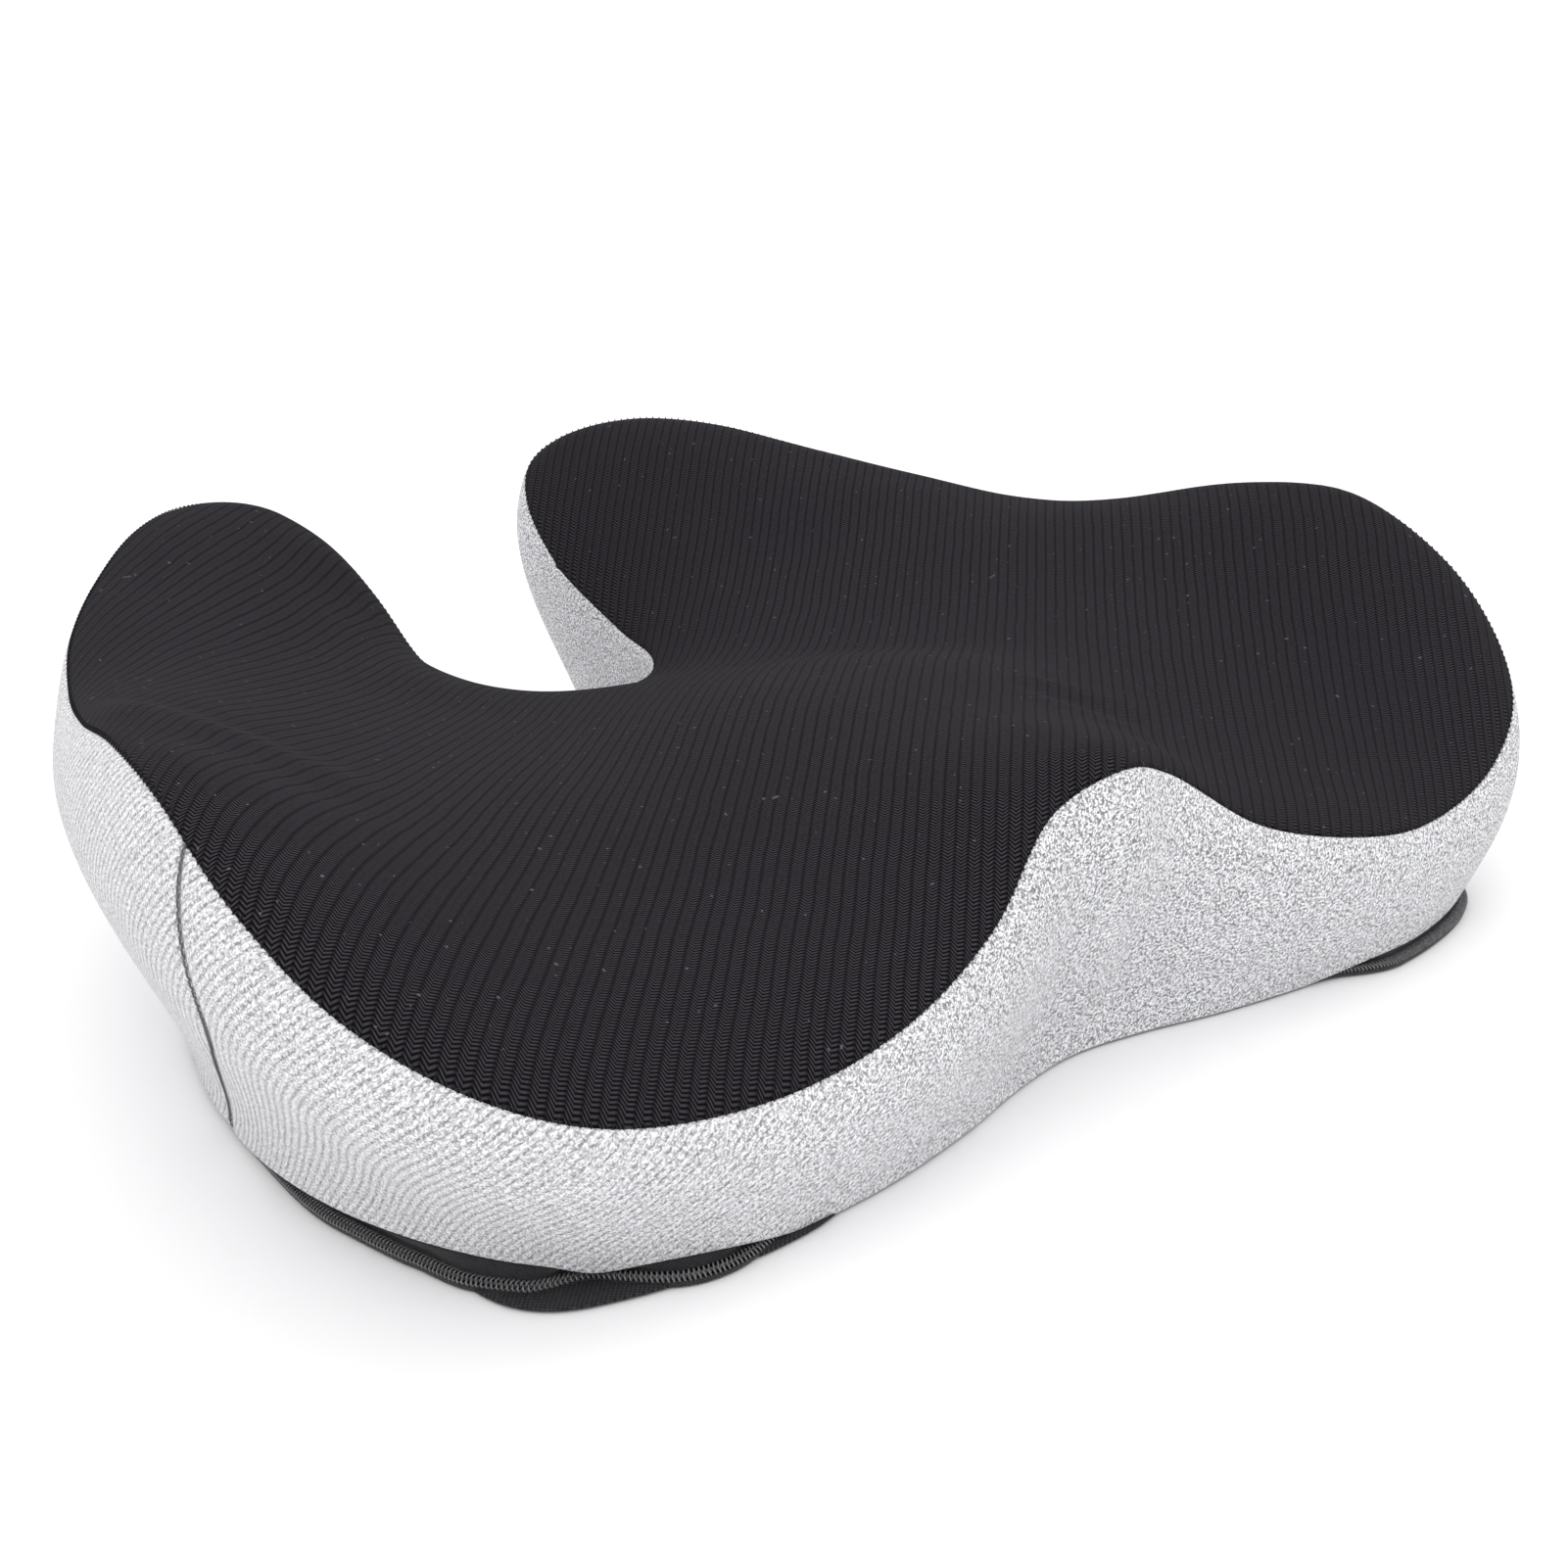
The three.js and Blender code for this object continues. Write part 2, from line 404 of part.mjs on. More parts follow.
// end stops
function block(name, p0, p1, section, color) { sweep(name, [p0, p1], section, color, 0.4, 0.7); }
const sEnd = alongTrack(zipP[zipP.length - 1]);
for (const [name, side] of [["zipper_top_stop_upper", -1], ["zipper_top_stop_lower", 1]])
  block(name, pAtTrack(sEnd + 0.35), pAtTrack(sEnd + 0.35 + STOP_L), (p) => {
    const o = zipOffset(p) + side * (PARTED + COIL_GAP + COIL_W / 2);
    return [[o - 1, COIL_Z0 - 0.2], [o + 1, COIL_Z0 - 0.2], [o + 1, COIL_Z1 + 0.3], [o - 1, COIL_Z1 + 0.3]];
  }, METAL);
block("zipper_bottom_stop", -ZIP_END - 0.075, -ZIP_END - 0.015, (p) => {
  const o = zipOffset(p);
  return [[o - 1.9, COIL_Z0 - 0.2], [o + 1.9, COIL_Z0 - 0.2], [o + 1.9, COIL_Z1 + 0.3], [o - 1.9, COIL_Z1 + 0.3]];
}, METAL);

// ---- slider and pull ----------------------------------------------------------------------------
const wasm = await Module();
wasm.setup();
function solid(geometry) {
  const g = geometry.index ? geometry.toNonIndexed() : geometry.clone();
  g.deleteAttribute("normal"); g.deleteAttribute("uv");
  const m = mergeVertices(g, 1e-4);
  return new wasm.Manifold(new wasm.Mesh({ numProp: 3, vertProperties: m.attributes.position.array, triVerts: new Uint32Array(m.index.array) }));
}
function fromSolid(s) {
  const m = s.getMesh(), g = new THREE.BufferGeometry();
  g.setAttribute("position", new THREE.BufferAttribute(new Float32Array(m.vertProperties), 3));
  g.setIndex(new THREE.BufferAttribute(new Uint32Array(m.triVerts), 1));
  return g;
}
// plate: outline in (t, n), thickness from z0 to z1; local axes t along the track, n outward, z up
const plate = (pts, z0, z1) => {
  const g = new THREE.ExtrudeGeometry(new THREE.Shape(pts.map(([x, y]) => new THREE.Vector2(x, y))), { depth: z1 - z0, bevelEnabled: false });
  return g.translate(0, 0, z0);
};
const boxAt = (x0, x1, y0, y1, z0, z1) => new THREE.BoxGeometry(x1 - x0, y1 - y0, z1 - z0).translate((x0 + x1) / 2, (y0 + y1) / 2, (z0 + z1) / 2);
const SHIELD = [[-5, -2.1], [-4.2, -2.6], [0, -2.9], [3.2, -3.7], [5.4, -3.5], [6, -2.6], [6, 2.6], [5.4, 3.5], [3.2, 3.7], [0, 2.9], [-4.2, 2.6], [-5, 2.1]];
const PIN_Z = 5.25, BRIDGE_TOP = 6.8;
let slider = solid(plate(SHIELD, 3.3, 4.1)).add(solid(plate(SHIELD, 1.05, 1.3)));
slider = slider.add(solid(boxAt(3.4, 5.6, -0.9, 0.9, 1.15, 3.7)));
// bridge over the pull's cross bar
slider = slider.add(solid(boxAt(-3.4, -2.4, -0.75, 0.75, 3.8, BRIDGE_TOP))).add(solid(boxAt(2.4, 3.4, -0.75, 0.75, 3.8, BRIDGE_TOP))).add(solid(boxAt(-3.4, 3.4, -0.75, 0.75, 6.1, BRIDGE_TOP)));
const frame = new THREE.Matrix4().makeBasis(trackDir, trackOut.clone().negate(), new THREE.Vector3(0, 0, 1));
const sliderAt = lineA.clone().addScaledVector(trackDir, sliderS);
const sliderNode = new THREE.Group();
sliderNode.applyMatrix4(frame);
sliderNode.position.copy(sliderAt);
group.add(sliderNode);
{
  const m = new THREE.Mesh(fromSolid(slider), new THREE.MeshStandardMaterial({ color: METAL, roughness: 0.35, metalness: 0.8 }));
  m.name = "zipper_slider_body";
  sliderNode.add(m);
  // pull: cross bar, two arms and a rounded tab, lying back along the closed chain
  const T = 1.1, z0 = PIN_Z - T / 2, z1 = PIN_Z + T / 2;
  let pull = solid(boxAt(-0.5, 0.5, -2.5, 2.5, PIN_Z - 0.5, PIN_Z + 0.5));
  pull = pull.add(solid(boxAt(-5.4, 0.3, 1.25, 2.5, z0, z1))).add(solid(boxAt(-5.4, 0.3, -2.5, -1.25, z0, z1)));
  const tab = [[-4.4, -2.5], [-4.4, 2.5], [-8, 2.1], [-15, 2.4], [-17.4, 1.8], [-18.2, 0], [-17.4, -1.8], [-15, -2.4], [-8, -2.1]];
  pull = pull.add(solid(plate(tab.reverse(), z0, z1)));
  const pm = new THREE.Mesh(fromSolid(pull), new THREE.MeshStandardMaterial({ color: METAL, roughness: 0.35, metalness: 0.8 }));
  pm.name = "zipper_pull_tab";
  sliderNode.add(pm);
}

export default group;
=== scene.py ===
# Seat cushion: sculpted foam cushion with a black ribbed-knit seating panel, grey heather side bands,
# a grip-dot base and a coil zip round the front half of the base. Lengths in mm until they reach Blender.
import bpy, bmesh, math
import numpy as np
from mathutils import Vector, Matrix


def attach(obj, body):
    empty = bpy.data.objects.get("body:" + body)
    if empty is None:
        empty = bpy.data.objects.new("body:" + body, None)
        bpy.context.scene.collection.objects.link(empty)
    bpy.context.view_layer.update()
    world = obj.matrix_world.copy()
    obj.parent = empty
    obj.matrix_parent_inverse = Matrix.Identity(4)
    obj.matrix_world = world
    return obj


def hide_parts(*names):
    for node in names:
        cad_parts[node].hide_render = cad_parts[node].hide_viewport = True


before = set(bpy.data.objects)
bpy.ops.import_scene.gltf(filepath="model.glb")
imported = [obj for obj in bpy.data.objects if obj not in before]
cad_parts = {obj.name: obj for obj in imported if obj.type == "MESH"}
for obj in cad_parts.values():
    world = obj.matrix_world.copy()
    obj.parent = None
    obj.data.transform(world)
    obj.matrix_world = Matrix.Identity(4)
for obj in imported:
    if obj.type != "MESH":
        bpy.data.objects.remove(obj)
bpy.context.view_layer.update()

# ---- outline tables (half, x >= 0): seam x y z, hem x y; and the seating surface's heights ---------
STATIONS = [
  [0, -167.5, 88, 0, -157.6],
  [22.1, -164.4, 81.2, 22.7, -160.8],
  [52.5, -173, 61.1, 53.2, -168.7],
  [90.4, -180.8, 50, 91.2, -174.3],
  [126.4, -179.6, 45, 124.9, -172.8],
  [167.3, -173.9, 50.3, 160.1, -158.1],
  [193.7, -164.4, 63, 174.8, -144.9],
  [211.8, -145.4, 79, 183.2, -131.3],
  [220.2, -119.5, 97.4, 189.1, -113.8],
  [218.9, -85.2, 112.6, 194, -85],
  [210.8, -42.1, 113.4, 191.8, -46],
  [200.7, 0.7, 106.4, 183.6, -3.7],
  [187.3, 42.5, 102.3, 169.9, 34.5],
  [171.2, 79.7, 107.5, 151.4, 69.1],
  [149.9, 112, 115.6, 133.1, 99.3],
  [122.3, 143.9, 122.2, 106.2, 128.8],
  [93.6, 168.6, 122.3, 87, 147.5],
  [70.9, 180.2, 117.2, 74, 155.5],
  [55.1, 179, 110.2, 63.5, 155],
  [44, 166.1, 99.3, 57.5, 147.5],
  [38.3, 139.4, 81.3, 55, 133],
  [38.8, 103.3, 65.3, 55, 102],
  [33.1, 75.8, 62.4, 49.5, 69],
  [20.4, 60.7, 60.9, 31, 43],
  [0, 56.1, 59.7, 0, 36],
]
HEIGHTS = [
  [79.5, 73, 59.4, 49.5, 43, 37.3, 34.2, 36.7, 41.8, 45.7, 47.2],
  [87, 77.9, 62, 54, 50.4, 47.1, 46.5, 51.5, 57.7, 61.5, 63.3],
  [87.9, 80.9, 68.4, 61.7, 59.4, 58.8, 61.1, 67.3, 73.4, 78.4, 80.8],
  [86.6, 83.4, 76.8, 71.9, 69.9, 70.8, 74.9, 81.9, 89.7, 95.2, 97],
  [88, 87.1, 83.7, 79.5, 77.4, 78.9, 83.5, 91.2, 101, 107.2, 108.7],
  [89.9, 89.8, 86.8, 82.1, 80.4, 82.5, 87.7, 96.5, 108.5, 117.1, 119.1],
  [88.3, 88.1, 84.5, 80.3, 80.2, 83.6, 90.1, 99.9, 110.5, 118, 120.4],
  [83.5, 82.7, 79.2, 77.2, 79.2, 84.3, 92.3, 101.7, 109, 113.6, 115.5],
  [76.5, 75.9, 74.3, 74.9, 78.9, 86, 94.7, 102.1, 106.4, 108.8, 109.9],
  [68.3, 69, 70.6, 73.6, 79.9, 88.5, 96.2, 101.1, 103.7, 105.5, 106.4],
  [61, 63.4, 68, 73.7, 82.4, 91.5, 98.3, 101.8, 103.8, 105.8, 106.7],
  [57.6, 60.5, 67.3, 76.3, 86.8, 96.2, 103.2, 106.5, 108.5, 110.7, 111.6],
  [58.9, 60.9, 69.6, 82.3, 93.6, 103.5, 111.2, 115.2, 117.5, 119.6, 120.4],
  [67.5, 69.3, 78.6, 92, 103.4, 114.3, 122.5, 126.9, 129.2, 131.1, 131.8],
  [82.2, 84.4, 92.7, 104.3, 116.3, 127.5, 135.4, 139.6, 142.1, 143.9, 144.5],
  [98.5, 100.7, 107.4, 117.8, 130.1, 140.8, 148.2, 152.6, 155.3, 157.2, 157.9],
  [109.5, 111.1, 116.7, 126.7, 138.9, 149.7, 157.1, 161.6, 164.4, 166.4, 167.1],
]
OY = -1.41
NST = 24
HEM_Z = 5.0
BULGE_TOP, BULGE_LOW, BULGE_NOTCH = 0.22, 0.09, 0.35
CROWN, CROWN_NEAR, CROWN_FAR = 5.5, 16.0, 70.0
ZIP_END, ZIP_STRAIGHT = 10.8, 9.6
ZIP_OFFSETS = [[-11, -2.8], [-9.8, -2.2], [-8.6, -0.6], [-7.6, 0.4], [-6.6, 2.8], [-5.9, 2.8], [-5.15, -2.8], [-4.5, 3.4], [-3.8, -2.8], [-2, -3.2], [0, -3.2], [2, -3.2], [3, -2], [3.8, 3], [5, 6.5], [6.5, 6], [8, 6.5], [9.6, 10.5], [11, 11]]


def smooth(u):
    u = np.clip(u, 0, 1)
    return u * u * (3 - 2 * u)


def lerp_table(t, x):
    t = np.asarray(t, float)
    x = np.asarray(x, float)
    i = np.clip(np.searchsorted(t[:, 0], x) - 1, 0, len(t) - 2)
    s = smooth((x - t[i, 0]) / (t[i + 1, 0] - t[i, 0]))
    return t[i, 1] + (t[i + 1, 1] - t[i, 1]) * s


def closed_points(cols, z=None):
    t = np.array(STATIONS, float)
    right = np.zeros((NST + 1, 3))
    right[:, : len(cols)] = t[:, cols]
    right[:, 1] += OY
    left = right[1:NST][::-1] * [-1, 1, 1]
    return np.vstack([right, left])


SEAM = closed_points([0, 1, 2])
HEM = closed_points([3, 4])


def catmull(pts, p):
    p = np.atleast_1d(np.asarray(p, float))
    n = len(pts)
    i = np.floor(p).astype(int)
    t = (p - i)[:, None]
    x0, x1, x2, x3 = (pts[(i + k) % n] for k in (-1, 0, 1, 2))
    d = lambda a, b: (((a - b) ** 2).sum(1) ** 0.25)[:, None]
    d0, d1, d2 = d(x1, x0), d(x2, x1), d(x3, x2)
    d1 = np.where(d1 < 1e-4, 1, d1)
    d0 = np.where(d0 < 1e-4, d1, d0)
    d2 = np.where(d2 < 1e-4, d1, d2)
    t1 = ((x1 - x0) / d0 - (x2 - x0) / (d0 + d1) + (x2 - x1) / d1) * d1
    t2 = ((x2 - x1) / d1 - (x3 - x1) / (d1 + d2) + (x3 - x2) / d2) * d1
    return x1 + t1 * t + (-3 * x1 + 3 * x2 - 2 * t1 - t2) * t**2 + (2 * x1 - 2 * x2 + t1 + t2) * t**3


# How this one lies: its two sides aren't quite alike. x, y, radius, mm up
LIFTS = [(100, 162, 62, 10.0), (-50, 147, 22, 5.0), (-115, 155, 45, 2.5), (197, 10, 42, -4.0), (205, -80, 50, 2.5)]


def lift(x, y):
    z = 0.0
    for cx, cy, r, h in LIFTS:
        z = z + h * np.exp(-((x - cx) ** 2 + (y - cy) ** 2) / r**2)
    return z


def seam_at(p):
    q = catmull(SEAM, p)
    # the wings roll off to their seam behind
    q[:, 2] += lift(q[:, 0], q[:, 1]) - 4.5 * np.exp(-(((np.abs(signed(p)) - 15.0) / 1.8) ** 2))
    return q


def tucked(p):
    """1 where the zip is folded away under the front edge."""
    q = np.asarray(p, float)
    return smooth((q + 4.3) / 0.8) * (1 - smooth((q - 2.7) / 0.9))


def corner_out(p):
    return 14.0 * np.exp(-(((np.asarray(p, float) - 5.6) / 1.45) ** 2))


def hem_out(p):
    """The hem stands out round the far front corner, and is drawn in where the zip is tucked away."""
    return corner_out(p) - 4.0 * tucked(p)


def hem_at(p):
    p = np.atleast_1d(np.asarray(p, float))
    a, b = catmull(HEM, p - 0.15), catmull(HEM, p + 0.15)
    n = np.stack([b[:, 1] - a[:, 1], a[:, 0] - b[:, 0], np.zeros(len(p))], 1)
    return catmull(HEM, p) + n / np.linalg.norm(n, axis=1)[:, None] * hem_out(signed(p))[:, None]


def hem_z(p):
    """The side knit hangs nearly to the ground where the zip is tucked behind it."""
    q = signed(p)
    left = smooth((q + 13.5) / 1.5) * (1 - smooth((q + 10.2) / 1.4))
    return HEM_Z - 3.8 * tucked(q) - 3.2 * left + 2.2 * np.exp(-(((q + 7.0) / 1.7) ** 2)) - 1.5 * np.exp(-(((q + 5.1) / 0.35) ** 2))


def hem_normal(p):
    p = np.atleast_1d(np.asarray(p, float))
    a, b = hem_at(p - 0.15), hem_at(p + 0.15)
    n = np.stack([b[:, 1] - a[:, 1], a[:, 0] - b[:, 0], np.zeros(len(p))], 1)
    return n / np.linalg.norm(n, axis=1)[:, None]


def signed(p):
    q = np.mod(np.asarray(p, float), 2 * NST)
    return np.where(q > NST, q - 2 * NST, q)


def fullness(p):
    u = np.clip((np.abs(signed(p)) - 17) / 3, 0, 1)
    return 1 + (BULGE_NOTCH - 1) * u


def top_share(p):
    """How far the wall swells just under the seam: hardly at all behind the wings."""
    q = np.abs(signed(p))
    return 1 - 0.35 * smooth((q - 11.6) / 1.6) * (1 - smooth((q - 17) / 1.5))


def wall_at(p, w, low=None, top=None):
    """Point on the side wall: w = 0 at the top seam, 1 at the hem."""
    p, w = np.broadcast_arrays(np.asarray(p, float), np.asarray(w, float))
    shape = p.shape
    p, w = p.ravel(), w.ravel()[:, None]
    s, b, n = seam_at(p), hem_at(p), hem_normal(p)
    f = fullness(p)[:, None]
    b = b.copy()
    b[:, 2] = hem_z(p)
    h = (s[:, 2] - b[:, 2])[:, None]
    z = np.array([[0, 0, 1.0]])
    extra_t = -BULGE_TOP * (1 - top_share(p))[:, None] + (0 if top is None else top(p)[:, None])
    extra_l = 0 if low is None else low(p)[:, None]
    c1 = s + n * (BULGE_TOP + extra_t) * f * h - z * 0.33 * h
    c2 = b + n * (BULGE_LOW + extra_l) * f * h + z * 0.33 * h
    q = s * (1 - w) ** 3 + 3 * c1 * w * (1 - w) ** 2 + 3 * c2 * w**2 * (1 - w) + b * w**3
    return q.reshape(shape + (3,))


HT = np.array(HEIGHTS, float)


def height_at(x, y):
    x, y = np.asarray(x, float), np.asarray(y, float)
    gx, gy = np.abs(x) / 25.0, (y - (-200 + OY)) / 25.0
    i, j = np.floor(gx).astype(int), np.floor(gy).astype(int)
    u, v = gx - i, gy - j
    R, C = HT.shape
    at = lambda jj, ii: HT[np.clip(jj, 0, R - 1), np.minimum(C - 1, np.abs(ii))]
    cr = lambda a, b, c, d, t: 0.5 * (2 * b + (c - a) * t + (2 * a - 5 * b + 4 * c - d) * t * t + (3 * b - a - 3 * c + d) * t**3)
    row = lambda jj: cr(at(jj, i - 1), at(jj, i), at(jj, i + 1), at(jj, i + 2), u)
    return cr(row(j - 1), row(j), row(j + 1), row(j + 2), v)


def half_plan(curve, nu, nv, rounds=500):
    """Plan grid of one half (x >= 0) inside a closed curve, smoothed so that its cells don't fold."""

    def edges(a, b):
        i, j = np.arange(a + 1) / a, np.arange(b + 1) / b
        P = np.zeros((a + 1, b + 1, 2))
        P[:, 0] = curve(6 * i)[:, :2]
        P[:, -1] = curve(20 - 6 * i)[:, :2]
        P[-1, :] = curve(6 + 8 * j)[:, :2]
        f, m = curve([0.0])[0, :2], curve([24.0])[0, :2]
        mid = curve(24 - 8 * (j - 0.5))[:, :2]
        line = np.stack([np.zeros(b + 1), f[1] + (m[1] - f[1]) * j * 2], 1)
        P[0, :] = np.where((j < 0.5)[:, None], line, mid)
        return P, i, j

    levels = [(nu // 8, nv // 8), (nu // 4, nv // 4), (nu // 2, nv // 2), (nu, nv)]
    prev = None
    for a, b in levels:
        P, i, j = edges(a, b)
        if prev is None:
            u, v = i[:, None, None], j[None, :, None]
            Q = P[:, :1] * (1 - v) + P[:, -1:] * v + P[:1] * (1 - u) + P[-1:] * u
            Q -= P[0, 0] * (1 - u) * (1 - v) + P[-1, 0] * u * (1 - v) + P[0, -1] * (1 - u) * v + P[-1, -1] * u * v
        else:
            Q = resample(prev, i, j)
        P[1:-1, 1:-1] = Q[1:-1, 1:-1]
        for _ in range(rounds):
            E, W, N, S = P[2:, 1:-1], P[:-2, 1:-1], P[1:-1, 2:], P[1:-1, :-2]
            xu, xv = (E - W) / 2, (N - S) / 2
            A, B, G = (xv * xv).sum(2, keepdims=True), (xu * xv).sum(2, keepdims=True), (xu * xu).sum(2, keepdims=True)
            X = (P[2:, 2:] - P[:-2, 2:] - P[2:, :-2] + P[:-2, :-2]) / 4
            new = (A * (E + W) + G * (N + S) - 2 * B * X) / (2 * (A + G) + 1e-12)
            P[1:-1, 1:-1] += 0.9 * (new - P[1:-1, 1:-1])
        prev = P
    return P


def resample(G, u, v):
    """Grid values at the given shares (0..1) of its two sides, by cubic interpolation."""

    def along(A, t):  # first axis
        n = A.shape[0] - 1
        A = np.concatenate([2 * A[:1] - A[1:2], A, 2 * A[-1:] - A[-2:-1]])
        x = np.asarray(t) * n
        i = np.minimum(np.floor(x).astype(int), n - 1)
        f = (x - i).reshape((-1,) + (1,) * (A.ndim - 1))
        a, b, c, d = A[i], A[i + 1], A[i + 2], A[i + 3]
        return 0.5 * (2 * b + (c - a) * f + (2 * a - 5 * b + 4 * c - d) * f * f + (3 * b - a - 3 * c + d) * f**3)

    G = along(np.asarray(G, float), u)
    return np.swapaxes(along(np.swapaxes(G, 0, 1), v), 0, 1)


SEAM_FINE = seam_at(np.arange(0, 48, 0.125))
SEAM_D = SEAM_FINE[:, 2] - lift(SEAM_FINE[:, 0], SEAM_FINE[:, 1]) - height_at(SEAM_FINE[:, 0], SEAM_FINE[:, 1])


def to_seam(x, y):
    """Plan distance to the seam and the seam's height difference there, blended."""
    q = np.stack([np.ravel(x), np.ravel(y)], 1)
    a = SEAM_FINE[:, :2]
    b = np.roll(a, -1, 0)
    d = b - a
    L = (d * d).sum(1)
    dist, diff = np.empty(len(q)), np.empty(len(q))
    for k in range(0, len(q), 2000):
        r = q[k : k + 2000, None] - a[None]
        t = np.clip((r * d).sum(2) / L, 0, 1)
        m = ((r - t[..., None] * d) ** 2).sum(2)
        dist[k : k + 2000] = np.sqrt(m.min(1))
        w = 1 / (m + 4.0) ** 1.5
        diff[k : k + 2000] = (w * SEAM_D).sum(1) / w.sum(1)
    return dist.reshape(np.shape(x)), diff.reshape(np.shape(x))


def crown(d, x=None, y=None):
    k = 1 if x is None else 1 - 0.85 * np.exp(-((np.asarray(x) / 42.0) ** 2) - ((np.asarray(y) - 62.0) / 34.0) ** 2)
    return k * CROWN * np.sin(np.minimum(1, d / CROWN_NEAR) * np.pi / 2) * (1 - smooth((d - CROWN_NEAR) / (CROWN_FAR - CROWN_NEAR)))


# folds of the cover: a ridge (or, below zero, a crease) along plan points, with its height and half width
FOLDS = [([(-204, 14), (-197, -20), (-188, -44), (-172, -58), (-152, -62)], 1.8, 9.0), ([(38, -92), (44, -104), (51, -116), (60, -130)], -1.2, 6.0)]

LAT, LX, LY = 4.0, 62, 104  # a lattice in plan, on which the foam's form is evened out


def blur(A, mm):
    r = np.arange(-12, 13)
    k = np.exp(-((r * LAT / mm) ** 2) / 2)
    k /= k.sum()
    for ax in (0, 1):
        pad = [(0, 0), (0, 0)]
        pad[ax] = (12, 12)
        B = np.pad(A, pad, mode="reflect" if ax == 0 else "edge")
        A = sum(w * np.take(B, np.arange(A.shape[ax]) + i, axis=ax) for i, w in enumerate(k))
    return A


def lattice():
    x = np.arange(LX)[:, None] * LAT
    y = -205 + np.arange(LY)[None] * LAT
    x, y = np.broadcast_arrays(x, y)
    d, diff = to_seam(x, y)
    a = SEAM_FINE[:, :2]
    b = np.roll(a, -1, 0)
    q = np.stack([x.ravel(), y.ravel()], 1)
    hit = ((a[None, :, 1] > q[:, 1:]) != (b[None, :, 1] > q[:, 1:])) & (q[:, :1] < (b - a)[None, :, 0] * (q[:, 1:] - a[None, :, 1]) / np.where(b[:, 1] == a[:, 1], 1e-9, (b - a)[:, 1])[None] + a[None, :, 0])
    inside = (hit.sum(1) % 2 == 1).reshape(x.shape)
    rise = np.where(inside, crown(d, x, y), 0)
    return blur(height_at(x, y) + diff * (1 - smooth(d / 38.0)) + rise, 7.5)


LATTICE = lattice()


def even_height(x, y):
    gx, gy = np.abs(x) / LAT, (y + 205) / LAT
    i, j = np.floor(gx).astype(int), np.floor(gy).astype(int)
    u, v = gx - i, gy - j
    at = lambda jj, ii: LATTICE[np.clip(np.abs(ii), 0, LX - 1), np.clip(jj, 0, LY - 1)]

    def bs(a, b, c, d, t):  # cubic B-spline: smooth to its second derivative
        return ((1 - t) ** 3 * a + (3 * t**3 - 6 * t**2 + 4) * b + (-3 * t**3 + 3 * t**2 + 3 * t + 1) * c + t**3 * d) / 6

    row = lambda jj: bs(at(jj, i - 1), at(jj, i), at(jj, i + 1), at(jj, i + 2), u)
    return bs(row(j - 1), row(j), row(j + 1), row(j + 2), v)


def top_height(x, y):
    d, diff = to_seam(x, y)
    z = height_at(x, y) + diff * (1 - smooth(d / 38.0)) + crown(d, x, y)
    z = z + (even_height(x, y) - z) * smooth((d - 5) / 15.0) + lift(x, y)
    for pts, h, half in FOLDS:
        z = z + fold(x, y, pts, h, half) * smooth(d / 7.0 + 0.15)
    return z, d


def fold(x, y, pts, h, half):
    pts = np.asarray(pts, float)
    q = np.stack([np.ravel(x), np.ravel(y)], 1)
    best, share = np.full(len(q), 1e9), np.zeros(len(q))
    seg = np.linalg.norm(np.diff(pts, axis=0), axis=1)
    run = np.concatenate([[0], np.cumsum(seg)])
    for k in range(len(seg)):
        a, d = pts[k], pts[k + 1] - pts[k]
        t = np.clip(((q - a) @ d) / (d @ d), 0, 1)
        m = np.linalg.norm(q - a - t[:, None] * d, axis=1)
        near = m < best
        best[near], share[near] = m[near], ((run[k] + t * seg[k]) / run[-1])[near]
    taper = np.sin(np.pi * np.clip(share, 0, 1)) ** 0.7
    wide = half * (0.75 + 0.5 * share)
    prof = np.exp(-((best / wide) ** 2)) - 0.45 * np.exp(-(((best - 1.9 * wide) / wide) ** 2))
    return (h * taper * prof).reshape(np.shape(x))


def wall_low(p):
    """Extra fullness low on the wall, as a share of its height."""
    q = signed(p)
    return 0.12 * np.exp(-(((q - 6.6) / 1.6) ** 2)) - 0.07 * np.exp(-(((q + 10.6) / 1.5) ** 2)) - 0.14 * np.exp(-(((np.abs(q) - 0.7) / 1.2) ** 2))


def wall_top(p):
    q = signed(p)
    return -0.03 * np.exp(-(((q - 6.4) / 1.6) ** 2))


def wall_shape(p, w):
    return wall_at(p, w, low=wall_low, top=wall_top)


# ---- zip track ------------------------------------------------------------------------------------
def zip_free(p):
    p = np.atleast_1d(np.asarray(p, float))
    return catmull(HEM, p) + hem_normal(p) * lerp_table(ZIP_OFFSETS, p)[:, None]


LINE_A, LINE_B = zip_free(ZIP_STRAIGHT)[0], zip_free(ZIP_END)[0]
TRACK_DIR = (LINE_B - LINE_A) / np.linalg.norm(LINE_B - LINE_A)
TRACK_LEN = float(np.linalg.norm(LINE_B - LINE_A))
TRACK_OUT = np.array([TRACK_DIR[1], -TRACK_DIR[0], 0])
SLIDER_S = TRACK_LEN - 30


def zip_offset(p):
    p = np.atleast_1d(np.asarray(p, float))
    b, n = hem_at(p), hem_normal(p)
    dx, dy = LINE_A[0] - b[:, 0], LINE_A[1] - b[:, 1]
    den = n[:, 0] * TRACK_DIR[1] - n[:, 1] * TRACK_DIR[0]
    s = (dx * TRACK_DIR[1] - dy * TRACK_DIR[0]) / np.where(np.abs(den) < 1e-6, 1e-6, den)
    return np.where(p < ZIP_STRAIGHT, lerp_table(ZIP_OFFSETS, p) - 0.5 * corner_out(p), s)


